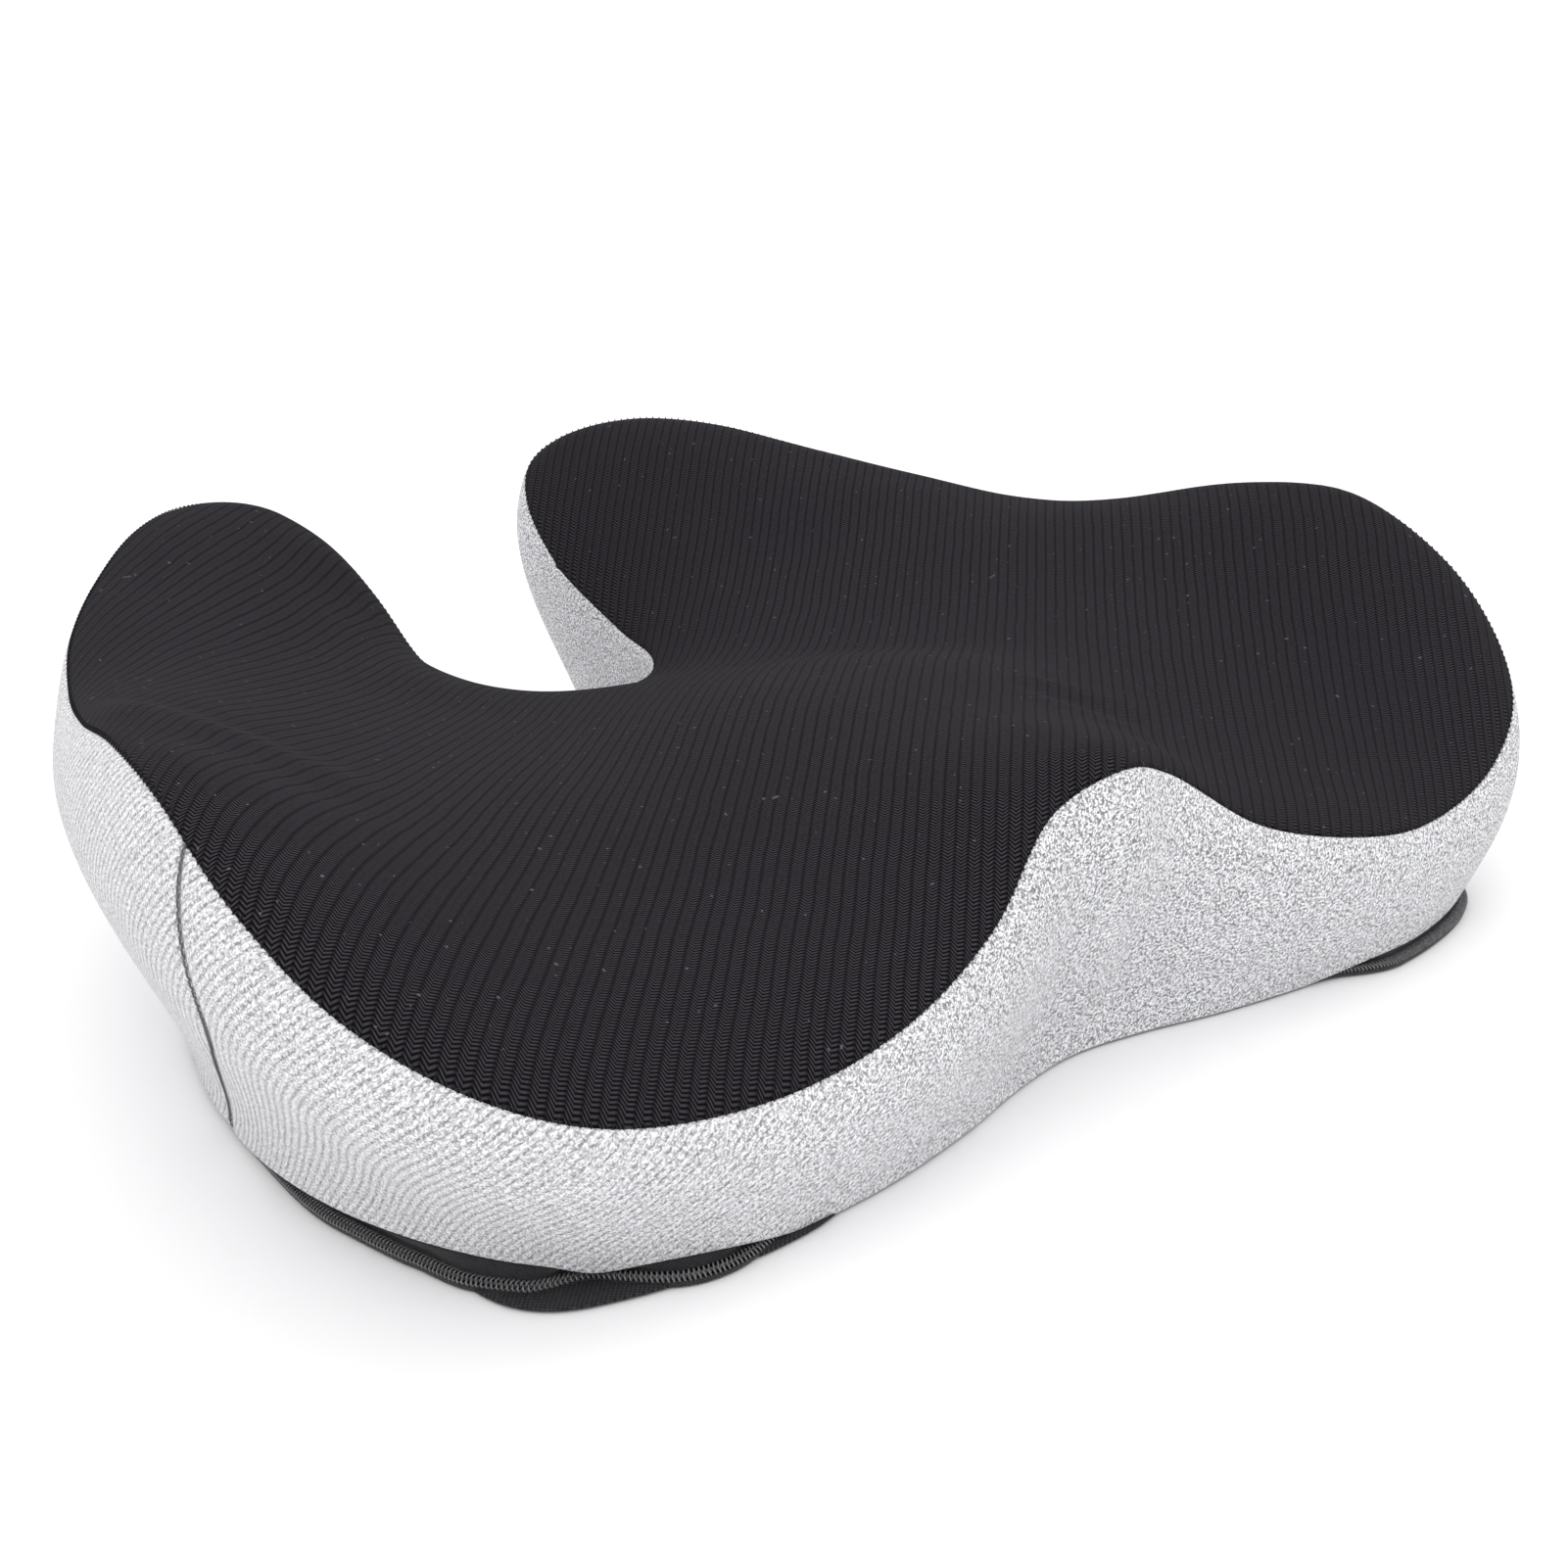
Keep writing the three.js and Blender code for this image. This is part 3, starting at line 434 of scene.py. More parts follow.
def along_track(p):
    p = np.atleast_1d(np.asarray(p, float))
    q = hem_at(p) + hem_normal(p) * zip_offset(p)[:, None]
    return (q - LINE_A) @ TRACK_DIR


def part_at(p):
    return np.where(np.asarray(p) < ZIP_STRAIGHT, 0, 1.35 * np.clip((along_track(p) - (SLIDER_S - 1.5)) / 4, 0, 1))

# ---- Blender helpers ------------------------------------------------------------------------------
def make(name, verts, faces, uv=None, smooth_shade=True, uv2=None):
    """Mesh object from points in mm and faces; uv is per vertex."""
    me = bpy.data.meshes.new(name)
    v = np.asarray(verts, float) * 0.001
    f = [np.asarray(a, int) for a in (faces if isinstance(faces, (list, tuple)) else [faces])]
    f = [a for a in f if len(a)]
    me.vertices.add(len(v))
    me.vertices.foreach_set("co", v.astype(np.float32).ravel())
    loops = np.concatenate([a.ravel() for a in f])
    sizes = np.concatenate([np.full(len(a), a.shape[1]) for a in f])
    me.loops.add(len(loops))
    me.loops.foreach_set("vertex_index", loops.astype(np.int32))
    me.polygons.add(len(sizes))
    me.polygons.foreach_set("loop_start", np.concatenate([[0], np.cumsum(sizes)[:-1]]).astype(np.int32))
    me.update(calc_edges=True)
    me.validate()
    me.polygons.foreach_set("use_smooth", np.full(len(me.polygons), smooth_shade))
    for label, data in (("knit", uv), ("arc", uv2)):
        if data is not None:
            layer = me.uv_layers.new(name=label)
            idx = np.empty(len(me.loops), np.int32)
            me.loops.foreach_get("vertex_index", idx)
            layer.data.foreach_set("uv", np.asarray(data, np.float32)[idx].ravel())
    ob = bpy.data.objects.new(name, me)
    bpy.context.scene.collection.objects.link(ob)
    return ob


def vertex_normals(verts, quads):
    n = np.zeros_like(verts)
    a, b, c, d = (verts[quads[:, k]] for k in range(4))
    fn = np.cross(c - a, d - b)
    for k in range(4):
        np.add.at(n, quads[:, k], fn)
    return n / np.maximum(np.linalg.norm(n, axis=1), 1e-9)[:, None]


def grid_quads(ids, flip=False):
    q = np.stack([ids[:-1, :-1], ids[1:, :-1], ids[1:, 1:], ids[:-1, 1:]], -1).reshape(-1, 4)
    return q[:, ::-1] if flip else q


def add_quads(ids, nxt, flip=False):
    """Strip between two index rows."""
    q = np.stack([ids[:-1], ids[1:], nxt[1:], nxt[:-1]], -1)
    return q[:, ::-1] if flip else q


def tube_mesh(path, radius, sides=6, closed=False, caps=True, up=None, oval=None):
    """Tube round a polyline; oval = (across, up) radii."""
    path = np.asarray(path, float)
    n = len(path)
    if closed:
        t = np.roll(path, -1, 0) - np.roll(path, 1, 0)
    else:
        t = np.gradient(path, axis=0)
    t /= np.maximum(np.linalg.norm(t, axis=1), 1e-9)[:, None]
    u = np.tile(np.array([0, 0, 1.0]) if up is None else up, (n, 1)) if up is None or np.ndim(up) == 1 else up
    s = np.cross(t, u)
    s /= np.maximum(np.linalg.norm(s, axis=1), 1e-9)[:, None]
    w = np.cross(s, t)
    a = np.arange(sides) * 2 * np.pi / sides
    r = np.broadcast_to(np.asarray(radius, float), (n,))[:, None, None]
    ox, oy = oval or (1, 1)
    ring = path[:, None] + r * (ox * np.cos(a)[None, :, None] * s[:, None] + oy * np.sin(a)[None, :, None] * w[:, None])
    v = ring.reshape(-1, 3)
    i = np.arange(n if closed else n - 1)
    k = np.arange(sides)
    I, K = np.meshgrid(i, k, indexing="ij")
    J, L = (I + 1) % n, (K + 1) % sides
    q = np.stack([I * sides + K, I * sides + L, J * sides + L, J * sides + K], -1).reshape(-1, 4)
    tris = []
    if not closed and caps:
        v = np.vstack([v, path[:1] - t[:1] * 0, path[-1:]])
        c0, c1 = len(v) - 2, len(v) - 1
        tris = [[c0, (kk + 1) % sides, kk] for kk in range(sides)]
        e = (n - 1) * sides
        tris += [[c1, e + kk, e + (kk + 1) % sides] for kk in range(sides)]
    return v, q, np.array(tris, int).reshape(-1, 3)


class Bag:
    """Collects meshes into one object."""

    def __init__(self):
        self.v, self.q, self.t, self.uv, self.n = [], [], [], [], 0

    def add(self, v, q=(), t=(), uv=None):
        self.v.append(v)
        if len(q):
            self.q.append(np.asarray(q) + self.n)
        if len(t):
            self.t.append(np.asarray(t) + self.n)
        self.uv.append(np.zeros((len(v), 2)) if uv is None else uv)
        self.n += len(v)

    def build(self, name, **kw):
        fs = []
        if self.q:
            fs.append(np.vstack(self.q))
        if self.t:
            fs.append(np.vstack(self.t))
        return make(name, np.vstack(self.v), fs, uv=np.vstack(self.uv), **kw)


def nodes_on(lo, hi):
    return np.unique(np.round(np.concatenate([lo, hi]), 6))


# ---- covers ---------------------------------------------------------------------------------------
SKIN = 1.2
PLAN = half_plan(seam_at, 120, 160, 260)
SIM_U, SIM_V, SIM_W = 24, 32, 10


def simulate():
    """Cloth pass over the whole cover: the knit is inflated over the foam between its sewn lines.
    Returns the moves of the two halves of the seating panel and of the walls, in mm."""
    U, V = np.linspace(0, 1, SIM_U + 1), np.linspace(0, 1, SIM_V + 1)
    P = resample(PLAN, U, V)
    ids, pts = {}, []
    half = SIM_V // 2

    def put(p):
        pts.append(p)
        return len(pts) - 1

    grids = []
    for side in (1, -1):
        z, _ = top_height(P[..., 0] * side, P[..., 1])
        g = np.zeros((SIM_U + 1, SIM_V + 1), int)
        for i in range(SIM_U + 1):
            for j in range(SIM_V + 1):
                if side < 0 and i == 0 and j <= half:
                    g[i, j] = grids[0][0, j]
                else:
                    g[i, j] = put([P[i, j, 0] * side, P[i, j, 1], z[i, j]])
        grids.append(g)
    right, left = grids

    def loop_of(g):
        return [g[i, 0] for i in range(SIM_U)] + [g[SIM_U, j] for j in range(SIM_V)] + [g[i, SIM_V] for i in range(SIM_U, 0, -1)] + [g[0, j] for j in range(SIM_V, half, -1)]

    a, b = loop_of(right), loop_of(left)
    ring = a + [right[0, half]] + b[1:][::-1]
    K = len(ring)
    p = np.arange(K) * 48.0 / K
    w = np.linspace(0, 1, SIM_W + 1)
    for k, r in enumerate(ring):
        pts[r] = list(seam_at([p[k]])[0])
    walls = np.zeros((K, SIM_W + 1), int)
    walls[:, 0] = ring
    W = wall_shape(p[:, None], w[None])
    for k in range(K):
        for r in range(1, SIM_W + 1):
            walls[k, r] = put(list(W[k, r]))
    v = np.array(pts)
    closed = np.vstack([walls, walls[:1]])
    quads = np.vstack([grid_quads(right), grid_quads(left, True), grid_quads(closed, True)])
    ob = make("cloth_pass", v, quads)
    pins = ob.vertex_groups.new(name="sewn")
    pins.add([int(i) for i in set(walls[:, 0]) | set(walls[:, -1])], 1.0, "REPLACE")
    c = ob.modifiers.new("Cloth", "CLOTH")
    s = c.settings
    s.quality = 6
    s.mass = 0.25
    s.tension_stiffness = s.compression_stiffness = 18
    s.shear_stiffness = 8
    s.bending_stiffness = 1.2
    s.use_pressure = True
    s.uniform_pressure_force = 3.5
    s.vertex_group_mass = "sewn"
    s.effector_weights.gravity = 0
    c.collision_settings.use_collision = False
    c.point_cache.frame_start, c.point_cache.frame_end = 1, 20
    scene = bpy.context.scene
    for f in range(1, 21):
        scene.frame_set(f)
    bpy.context.view_layer.update()
    ev = ob.evaluated_get(bpy.context.evaluated_depsgraph_get())
    out = np.empty(len(ev.data.vertices) * 3, np.float32)
    ev.data.vertices.foreach_get("co", out)
    move = out.reshape(-1, 3) * 1000.0 - v
    far = np.linalg.norm(move, axis=1)
    print("cloth pass: moved", round(float(far.max()), 2), "mm at most,", round(float(far.mean()), 2), "on average")
    cap = 2.0
    move *= (np.tanh(far / cap) * cap / np.maximum(far, 1e-6))[:, None]
    bpy.data.objects.remove(ob)
    scene.frame_set(1)
    def calm(g):
        for _ in range(4):
            g[1:-1, 1:-1] = 0.4 * g[1:-1, 1:-1] + 0.15 * (g[2:, 1:-1] + g[:-2, 1:-1] + g[1:-1, 2:] + g[1:-1, :-2])
        return g * 0.7

    return calm(move[right]), calm(move[left]), move[walls]


MOVES = simulate()
WALL_MOVE = np.concatenate([MOVES[2][-3:], MOVES[2], MOVES[2][:4]])


def wall_move(p, w):
    """Cloth move on the wall at station p and height share w (same shapes)."""
    K = len(MOVES[2])
    x = np.mod(p, 48.0) * K / 48.0 + 3
    i = np.floor(x).astype(int)
    f = (x - i)[..., None]
    y = w * SIM_W
    j = np.clip(np.floor(y).astype(int), 0, SIM_W - 1)
    g = (y - j)[..., None]
    at = lambda a, b: WALL_MOVE[a, b]
    cr = lambda a, b, c, d, t: 0.5 * (2 * b + (c - a) * t + (2 * a - 5 * b + 4 * c - d) * t * t + (3 * b - a - 3 * c + d) * t**3)
    col = lambda b: cr(at(i - 1, b), at(i, b), at(i + 1, b), at(i + 2, b), f)
    return col(j) * (1 - g) + col(j + 1) * g


RIB = np.array([0.736, 0.677])  # the knit's ribs run along this direction in plan
RIB_X = np.array([-0.677, 0.736])
RIB_PITCH, STITCH = 3.3, 0.95


def top_cover():
    near = np.array([0.0025, 0.005, 0.008])
    un = nodes_on(np.linspace(0, 1, 97), np.concatenate([near, 1 - near]))
    vn = nodes_on(np.linspace(0, 1, 129), np.concatenate([near, 1 - near, [1 - 0.001, 1 - 0.0035, 1 - 0.0065]]))
    P = resample(PLAN, un, vn)
    P[:, 0], P[:, -1] = seam_at(6 * un)[:, :2], seam_at(20 - 6 * un)[:, :2]
    P[-1, :] = seam_at(6 + 8 * vn)[:, :2]
    late = vn >= 0.5
    P[0, late] = seam_at(24 - 8 * (vn[late] - 0.5))[:, :2]
    edge = np.zeros(P.shape[:2], bool)
    edge[:, 0] = edge[:, -1] = edge[-1, :] = True
    edge[0, late] = True
    seam_p = np.zeros(P.shape[:2])
    seam_p[:, 0], seam_p[:, -1] = 6 * un, 20 - 6 * un
    seam_p[-1, :] = 6 + 8 * vn
    seam_p[0, late] = 24 - 8 * (vn[late] - 0.5)
    parts, idx = [], []
    total = 0
    for side, move in ((1, MOVES[0]), (-1, MOVES[1])):
        x, y = P[..., 0] * side, P[..., 1]
        z, d = top_height(x, y)
        g = np.stack([x, y, z], -1)
        g[edge] = seam_at((seam_p if side > 0 else 48 - seam_p)[edge])
        d = np.where(edge, 0, d)
        m = resample(move, un, vn)
        m[edge] = 0
        g = g + m
        # the edge dips into the seam
        g[..., 2] -= 0.9 * np.exp(-((d / 1.5) ** 2))
        ids = np.zeros(P.shape[:2], int)
        if side > 0:
            ids = np.arange(g.shape[0] * g.shape[1]).reshape(g.shape[:2])
            parts.append(g.reshape(-1, 3))
            total = len(parts[0])
        else:
            keep = np.ones(P.shape[:2], bool)
            keep[0, vn <= 0.5] = False
            ids[keep] = total + np.arange(keep.sum())
            ids[0, vn <= 0.5] = idx[0][0, vn <= 0.5]
            parts.append(g[keep])
        idx.append(ids)
    v = np.vstack(parts)
    quads = np.vstack([grid_quads(idx[0]), grid_quads(idx[1], True)])
    n = vertex_normals(v, quads)
    a, b = idx
    loop = np.concatenate([a[:-1, 0], a[-1, :-1], a[::-1, -1][:-1], a[0, ::-1][: late.sum() - 1]])
    mid = [a[0, np.nonzero(vn == 0.5)[0][0]]]
    other = np.concatenate([b[:-1, 0], b[-1, :-1], b[::-1, -1][:-1], b[0, ::-1][: late.sum() - 1]])
    loop = np.concatenate([loop, mid, other[1:][::-1]])
    return v, quads, n, loop, idx, un, vn


TOP_V, TOP_Q, TOP_N, TOP_LOOP, TOP_IDX, TOP_UN, TOP_VN = top_cover()


def knit_uv(v):
    return np.stack([v[:, :2] @ RIB_X / RIB_PITCH, v[:, :2] @ RIB / STITCH], 1)


def shell_top():
    v, q, n, loop = TOP_V, TOP_Q, TOP_N, TOP_LOOP
    inner = v - n * SKIN
    # under the seam the panel's edge turns down and inwards as its seam allowance
    k = len(v)
    L2 = np.concatenate([loop, loop[:1]])
    rim = np.stack([L2[1:], L2[:-1], L2[:-1] + k, L2[1:] + k], -1)
    centre = inner[loop].mean(0)
    inner[loop] = v[loop] - n[loop] * SKIN * 0.4 + np.array([0, 0, -1.1])
    V = np.vstack([v, inner])
    Q = np.vstack([q, q[:, ::-1] + k, rim])
    return make("cover_top", V, Q, uv=np.vstack([knit_uv(v), knit_uv(v)]))


# arc length along mid-wall, for the side knit
ARC_P = np.linspace(-24, 24, 1201)
ARC_M = wall_at(ARC_P, np.full(len(ARC_P), 0.5))
ARC_S = np.concatenate([[0], np.cumsum(np.linalg.norm(np.diff(ARC_M, axis=0), axis=1))])


SPLIT = [[0, 8.6], [0.1, 8.48], [0.2, 8.44], [0.3, 8.43], [0.4, 8.53], [0.5, 8.76], [0.6, 9.07], [0.7, 9.45], [0.8, 9.8], [0.9, 10.1], [1, 10.3]]


def split(w):
    """Where the upright seams stand, as a station for a height down the wall."""
    t = np.array(SPLIT)
    w = np.asarray(w, float)
    return sum(np.interp(w + k, t[:, 0], t[:, 1]) for k in (-0.08, -0.04, 0.0, 0.04, 0.08)) / 5


W_ROWS = np.concatenate([[0, 0.008, 0.018, 0.032, 0.05, 0.075], np.linspace(0.1, 0.93, 30), [0.95, 0.965, 0.98, 0.99, 1.0]])


def band(name, p0, p1, cols, turn_under):
    w = W_ROWS[:, None]
    k = np.linspace(0, 1, cols + 1)[None]
    p = p0(w) + (p1(w) - p0(w)) * k
    W = np.broadcast_to(w, p.shape)
    g = wall_shape(p, W) + wall_move(p, W)
    pf = p.ravel()
    n = hem_normal(pf).reshape(p.shape + (3,))
    h = (seam_at(pf)[:, 2] - hem_z(pf)).reshape(p.shape)
    down = W * h
    g = g - n * (0.8 * np.exp(-((down / 1.6) ** 2)))[..., None]
    g[..., 2] -= 1.15 * np.exp(-((down / 1.2) ** 2))
    # the two ends dip into the upright seams
    ends = np.minimum(k, 1 - k) * (p1(w) - p0(w)) * 29.0
    g = g - n * (0.75 * np.exp(-((ends / 1.5) ** 2)))[..., None]
    rows = [g]
    last = p[-1]
    b, bn = hem_at(last), hem_normal(last)
    if turn_under:
        for off, z in ((0.35, 4.2), (0.9, 3.4), (1.8, 2.4), (2.9, 1.6), (4.0, 1.2)):
            r = b - bn * off
            r[:, 2] = np.minimum(z, hem_z(last) - 0.1)
            rows.append(r[None])
    else:
        for off, z in ((0.12, 0.28), (0.4, 0.5)):
            r = b - bn * off
            r[:, 2] = hem_z(last) - z
            rows.append(r[None])
    G = np.concatenate(rows)
    R, C = G.shape[:2]
    ids = np.arange(R * C).reshape(R, C)
    v = G.reshape(-1, 3)
    q = grid_quads(ids)
    nn = vertex_normals(v, q)
    # outward check
    if (nn * np.repeat(n[:1], 1, 0).reshape(-1, 3)[np.arange(R * C) % C]).sum() < 0:
        q = q[:, ::-1]
        nn = -nn
    inner = v - nn * SKIN
    K = len(v)
    border = np.concatenate([ids[:-1, 0], ids[-1, :-1], ids[::-1, -1][:-1], ids[0, ::-1][:-1]])
    B2 = np.concatenate([border, border[:1]])
    rim = np.stack([B2[:-1], B2[1:], B2[1:] + K, B2[:-1] + K], -1)
    # orientation of the rim follows the outer quads
    first = set(map(tuple, np.sort(q[:, [0, 1]], 1)))
    e = {(a, b) for f in q[: 4 * C] for a, b in zip(f, np.roll(f, -1))}
    if (B2[0], B2[1]) in e or (B2[1], B2[2]) in e:
        rim = rim[:, ::-1]
    s = np.interp(signed_keep(p), ARC_P, ARC_S) if True else 0
    s = np.vstack([s, np.repeat(s[-1:], R - len(s), 0)])
    up = np.vstack([(1 - W) * h, np.repeat(-np.arange(1, R - len(W) + 1)[:, None] * 1.0, C, 1)])
    a = math.radians(40)
    u = (-s * math.sin(a) + up * math.cos(a)) / 2.2
    t = (s * math.cos(a) + up * math.sin(a)) / STITCH
    uv = np.stack([u, t], -1).reshape(-1, 2)
    uv2 = np.stack([s / 100.0, up / 100.0], -1).reshape(-1, 2)
    V = np.vstack([v, inner])
    Q = np.vstack([q, q[:, ::-1] + K, rim])
    return make(name, V, Q, uv=np.vstack([uv, uv]), uv2=np.vstack([uv2, uv2]))


def signed_keep(p):
    """Stations past the rear run on below -24 or above 24 as one line."""
    return np.where(p > 24, p - 48, p)


top = shell_top()
front_band = band("cover_band_front", lambda w: -split(w), lambda w: split(w), 400, False)
rear_band = band("cover_band_rear", lambda w: split(w) + 0.02, lambda w: 48 - split(w) - 0.02, 520, True)


# ---- sewing thread --------------------------------------------------------------------------------
def by_length(f, p0, p1, step, n=4000):
    p = np.linspace(p0, p1, n)
    q = f(p)
    s = np.concatenate([[0], np.cumsum(np.linalg.norm(np.diff(q, axis=0), axis=1))])
    at = np.arange(step / 2, s[-1], step)
    return np.interp(at, s, p)


def threads():
    bag = Bag()
    z = np.array([0, 0, 1.0])
    ps = by_length(seam_at, 0, 48, 2.5)
    S, N = seam_at(ps), hem_normal(ps)
    for k, (s, n) in enumerate(zip(S, N)):
        a = s - n * 0.9 - z * 0.5
        m1 = s - n * 0.3 - z * 0.45
        m2 = s + n * 0.02 - z * 0.85
        b = s + n * 0.2 - z * 1.5
        v, q, t = tube_mesh([a, m1, m2, b], [0.16, 0.22, 0.22, 0.16], 5, up=np.cross(n, z))
        bag.add(v, q, t)
    return bag.build("seam_thread")


def side_threads():
    bag = Bag()
    for side in (1, -1):
        w = np.linspace(0.01, 0.985, 500)
        f = lambda w: wall_shape(side * split(w), w) + wall_move(side * split(w), w)
        base = f(w)
        s = np.concatenate([[0], np.cumsum(np.linalg.norm(np.diff(base, axis=0), axis=1))])
        n = hem_normal(side * split(w))
        t = np.gradient(base, axis=0)
        t /= np.linalg.norm(t, axis=1)[:, None]
        x = np.cross(n, t)
        ph = s * 2 * np.pi / 2.6
        line = base - n * 0.16 + x * (0.22 * np.sin(ph))[:, None] + n * (0.1 * np.cos(ph * 2))[:, None]
        v, q, tt = tube_mesh(line, 0.24, 6, up=np.array([0, 0.3, 1.0]))
        bag.add(v, q, tt)
    return bag.build("side_seam_thread")


thread = threads()
side_thread = side_threads()


# ---- foam core ------------------------------------------------------------------------------------
def foam():
    a, b = TOP_IDX
    iu = np.unique(np.concatenate([np.arange(0, len(TOP_UN), 3), [len(TOP_UN) - 1]]))
    mid = int(np.nonzero(TOP_VN == 0.5)[0][0])
    iv = np.unique(np.concatenate([np.arange(0, len(TOP_VN), 3), [mid, len(TOP_VN) - 1]]))
    ra, rb = a[np.ix_(iu, iv)], b[np.ix_(iu, iv)]
    inset = TOP_V - TOP_N * 3.6
    p_of = {}
    un, vn = TOP_UN[iu], TOP_VN[iv]
    late = vn >= 0.5
    loopA = np.concatenate([ra[:-1, 0], ra[-1, :-1], ra[::-1, -1][:-1], ra[0, ::-1][: late.sum() - 1]])
    pA = np.concatenate([6 * un[:-1], 6 + 8 * vn[:-1], (20 - 6 * un)[::-1][:-1], (24 - 8 * (vn - 0.5))[::-1][: late.sum() - 1]])
    loopB = np.concatenate([rb[:-1, 0], rb[-1, :-1], rb[::-1, -1][:-1], rb[0, ::-1][: late.sum() - 1]])
    loop = np.concatenate([loopA, [ra[0, np.nonzero(late)[0][0]]], loopB[1:][::-1]])
    ps = np.concatenate([pA, [24.0], 48 - pA[1:][::-1]])
    n = hem_normal(ps)
    inset[loop] = seam_at(ps) - n * 3.9 + np.array([0, 0, -4.2])
    used = np.unique(np.concatenate([ra.ravel(), rb.ravel()]))
    remap = -np.ones(len(TOP_V), int)
    remap[used] = np.arange(len(used))
    v = [inset[used]]
    q = [grid_quads(remap[ra]), grid_quads(remap[rb], True)]
    rings = [remap[loop]]
    count = len(used)
    for w in np.linspace(0.1, 0.96, 14):
        g = wall_shape(ps, np.full(len(ps), w)) - n * 3.7
        v.append(g)
        rings.append(count + np.arange(len(ps)))
        count += len(ps)
    for off, z in ((4.2, HEM_Z + 0.4), (8, 4.3), (12, 2.1)):
        g = hem_at(ps) - n * off
        g[:, 2] = z
        v.append(g)
        rings.append(count + np.arange(len(ps)))
        count += len(ps)
    for r0, r1 in zip(rings[:-1], rings[1:]):
        x, y = np.append(r0, r0[0]), np.append(r1, r1[0])
        q.append(np.stack([x[:-1], y[:-1], y[1:], x[1:]], -1))
    ob = make("foam_block", np.vstack(v), np.vstack(q))
    bm = bmesh.new()
    bm.from_mesh(ob.data)
    edges = [e for e in bm.edges if e.is_boundary]
    bmesh.ops.triangle_fill(bm, use_beauty=True, use_dissolve=False, edges=edges)
    bmesh.ops.recalc_face_normals(bm, faces=bm.faces)
    bm.to_mesh(ob.data)
    bm.free()
    return ob


core = foam()


# ---- base panel -----------------------------------------------------------------------------------
def base():
    edge = lambda p: hem_at(p) - hem_normal(p) * 4.3
    P = half_plan(edge, 48, 64, 200)
    bag = Bag()
    nu, nv = P.shape[:2]
    v, quads = [], []
    top_ids, total = [], 0
    for side in (1, -1):
        ids = total + np.arange(nu * nv).reshape(nu, nv)
        g = np.concatenate([P * [side, 1], np.full((nu, nv, 1), 1.5)], -1).reshape(-1, 3)
        v.append(g)
        total += nu * nv
        quads.append(grid_quads(ids, side < 0))
        top_ids.append(ids)
    v = np.vstack(v)
    q = np.vstack(quads)
    x, y = v[:, 0], v[:, 1]
    lower = v.copy()
    lower[:, 2] = 0.75
    V = np.vstack([v, lower])
    Q = np.vstack([q, q[:, ::-1] + len(v)])
    ob = make("base_cloth", V, Q, uv=np.stack([V[:, 0], V[:, 1]], 1))
    bm = bmesh.new()
    bm.from_mesh(ob.data)
    bmesh.ops.remove_doubles(bm, verts=bm.verts, dist=1e-6)
    edges = [e for e in bm.edges if e.is_boundary]
    rest = set(edges)
    bmesh.ops.bridge_loops(bm, edges=edges)
    bmesh.ops.recalc_face_normals(bm, faces=bm.faces)
    for f in bm.faces:
        f.smooth = True
    bm.to_mesh(ob.data)
    bm.free()
    # overlocked edge: a cord of thread round the rim
    ps = np.linspace(0, 48, 900, endpoint=False)
    line = edge(ps) + hem_normal(ps) * -0.35
    line[:, 2] = 0.95
    vv, qq, tt = tube_mesh(line, 0.95, 8, closed=True, oval=(1.35, 0.9))
    rim = Bag()
    rim.add(vv, qq)
    rim_ob = rim.build("base_edge")
    # grip dots
    ring = edge(np.linspace(0, 48, 480, endpoint=False))[:, :2]
    dots = Bag()
    pitch = 8.5
    cand = []
    for r in range(-26, 26):
        for c in range(-30, 31):
            cand.append(((c + 0.5 * (r % 2)) * pitch, r * pitch * 0.866))
    cand = np.array(cand)
    x0, y0 = ring[:, 0], ring[:, 1]
    x1, y1 = np.roll(x0, -1), np.roll(y0, -1)
    cx, cy = cand[:, :1], cand[:, 1:]
    hit = ((y0 > cy) != (y1 > cy)) & (cx < (x1 - x0) * (cy - y0) / np.where(y1 == y0, 1e-9, y1 - y0) + x0)
    inside = hit.sum(1) % 2 == 1
    far = np.sqrt(((cand[:, None] - ring[None]) ** 2).sum(2)).min(1) > 6
    a = np.arange(8) * np.pi / 4
    circle = np.stack([np.cos(a), np.sin(a)], 1)
    for c in cand[inside & far]:
        rows = [np.c_[c + circle * r, np.full(8, z)] for r, z in ((1.75, 0.8), (1.6, 0.42), (1.0, 0.1))]
        vv = np.vstack(rows + [[[c[0], c[1], 0.02]]])
        k = np.arange(8)
        k2 = (k + 1) % 8
        qq = np.vstack([np.stack([k + 8 * r, k + 8 * (r + 1), k2 + 8 * (r + 1), k2 + 8 * r], -1) for r in (0, 1)])
        tt = np.stack([k + 16, np.full(8, 24), k2 + 16], -1)
        dots.add(vv, qq, tt)
    return ob, rim_ob, dots.build("grip_dots")


base_cloth, base_edge, grip = base()


# ---- zip ------------------------------------------------------------------------------------------
ZIP_P = by_length(lambda p: hem_at(p) + hem_normal(p) * zip_offset(p)[:, None], -ZIP_END, ZIP_END, 1.5, 6000)
ZIP_P = np.concatenate([[-ZIP_END], ZIP_P, [ZIP_END]])


def curve_through(pts, m):
    pts = np.asarray(pts, float)
    return resample_line(pts, m)


def resample_line(pts, m):
    n = len(pts) - 1
    A = np.concatenate([2 * pts[:1] - pts[1:2], pts, 2 * pts[-1:] - pts[-2:-1]])
    x = np.linspace(0, n, m)
    i = np.minimum(np.floor(x).astype(int), n - 1)
    f = (x - i)[:, None]
    a, b, c, d = A[i], A[i + 1], A[i + 2], A[i + 3]
    return 0.5 * (2 * b + (c - a) * f + (2 * a - 5 * b + 4 * c - d) * f * f + (3 * b - a - 3 * c + d) * f**3)


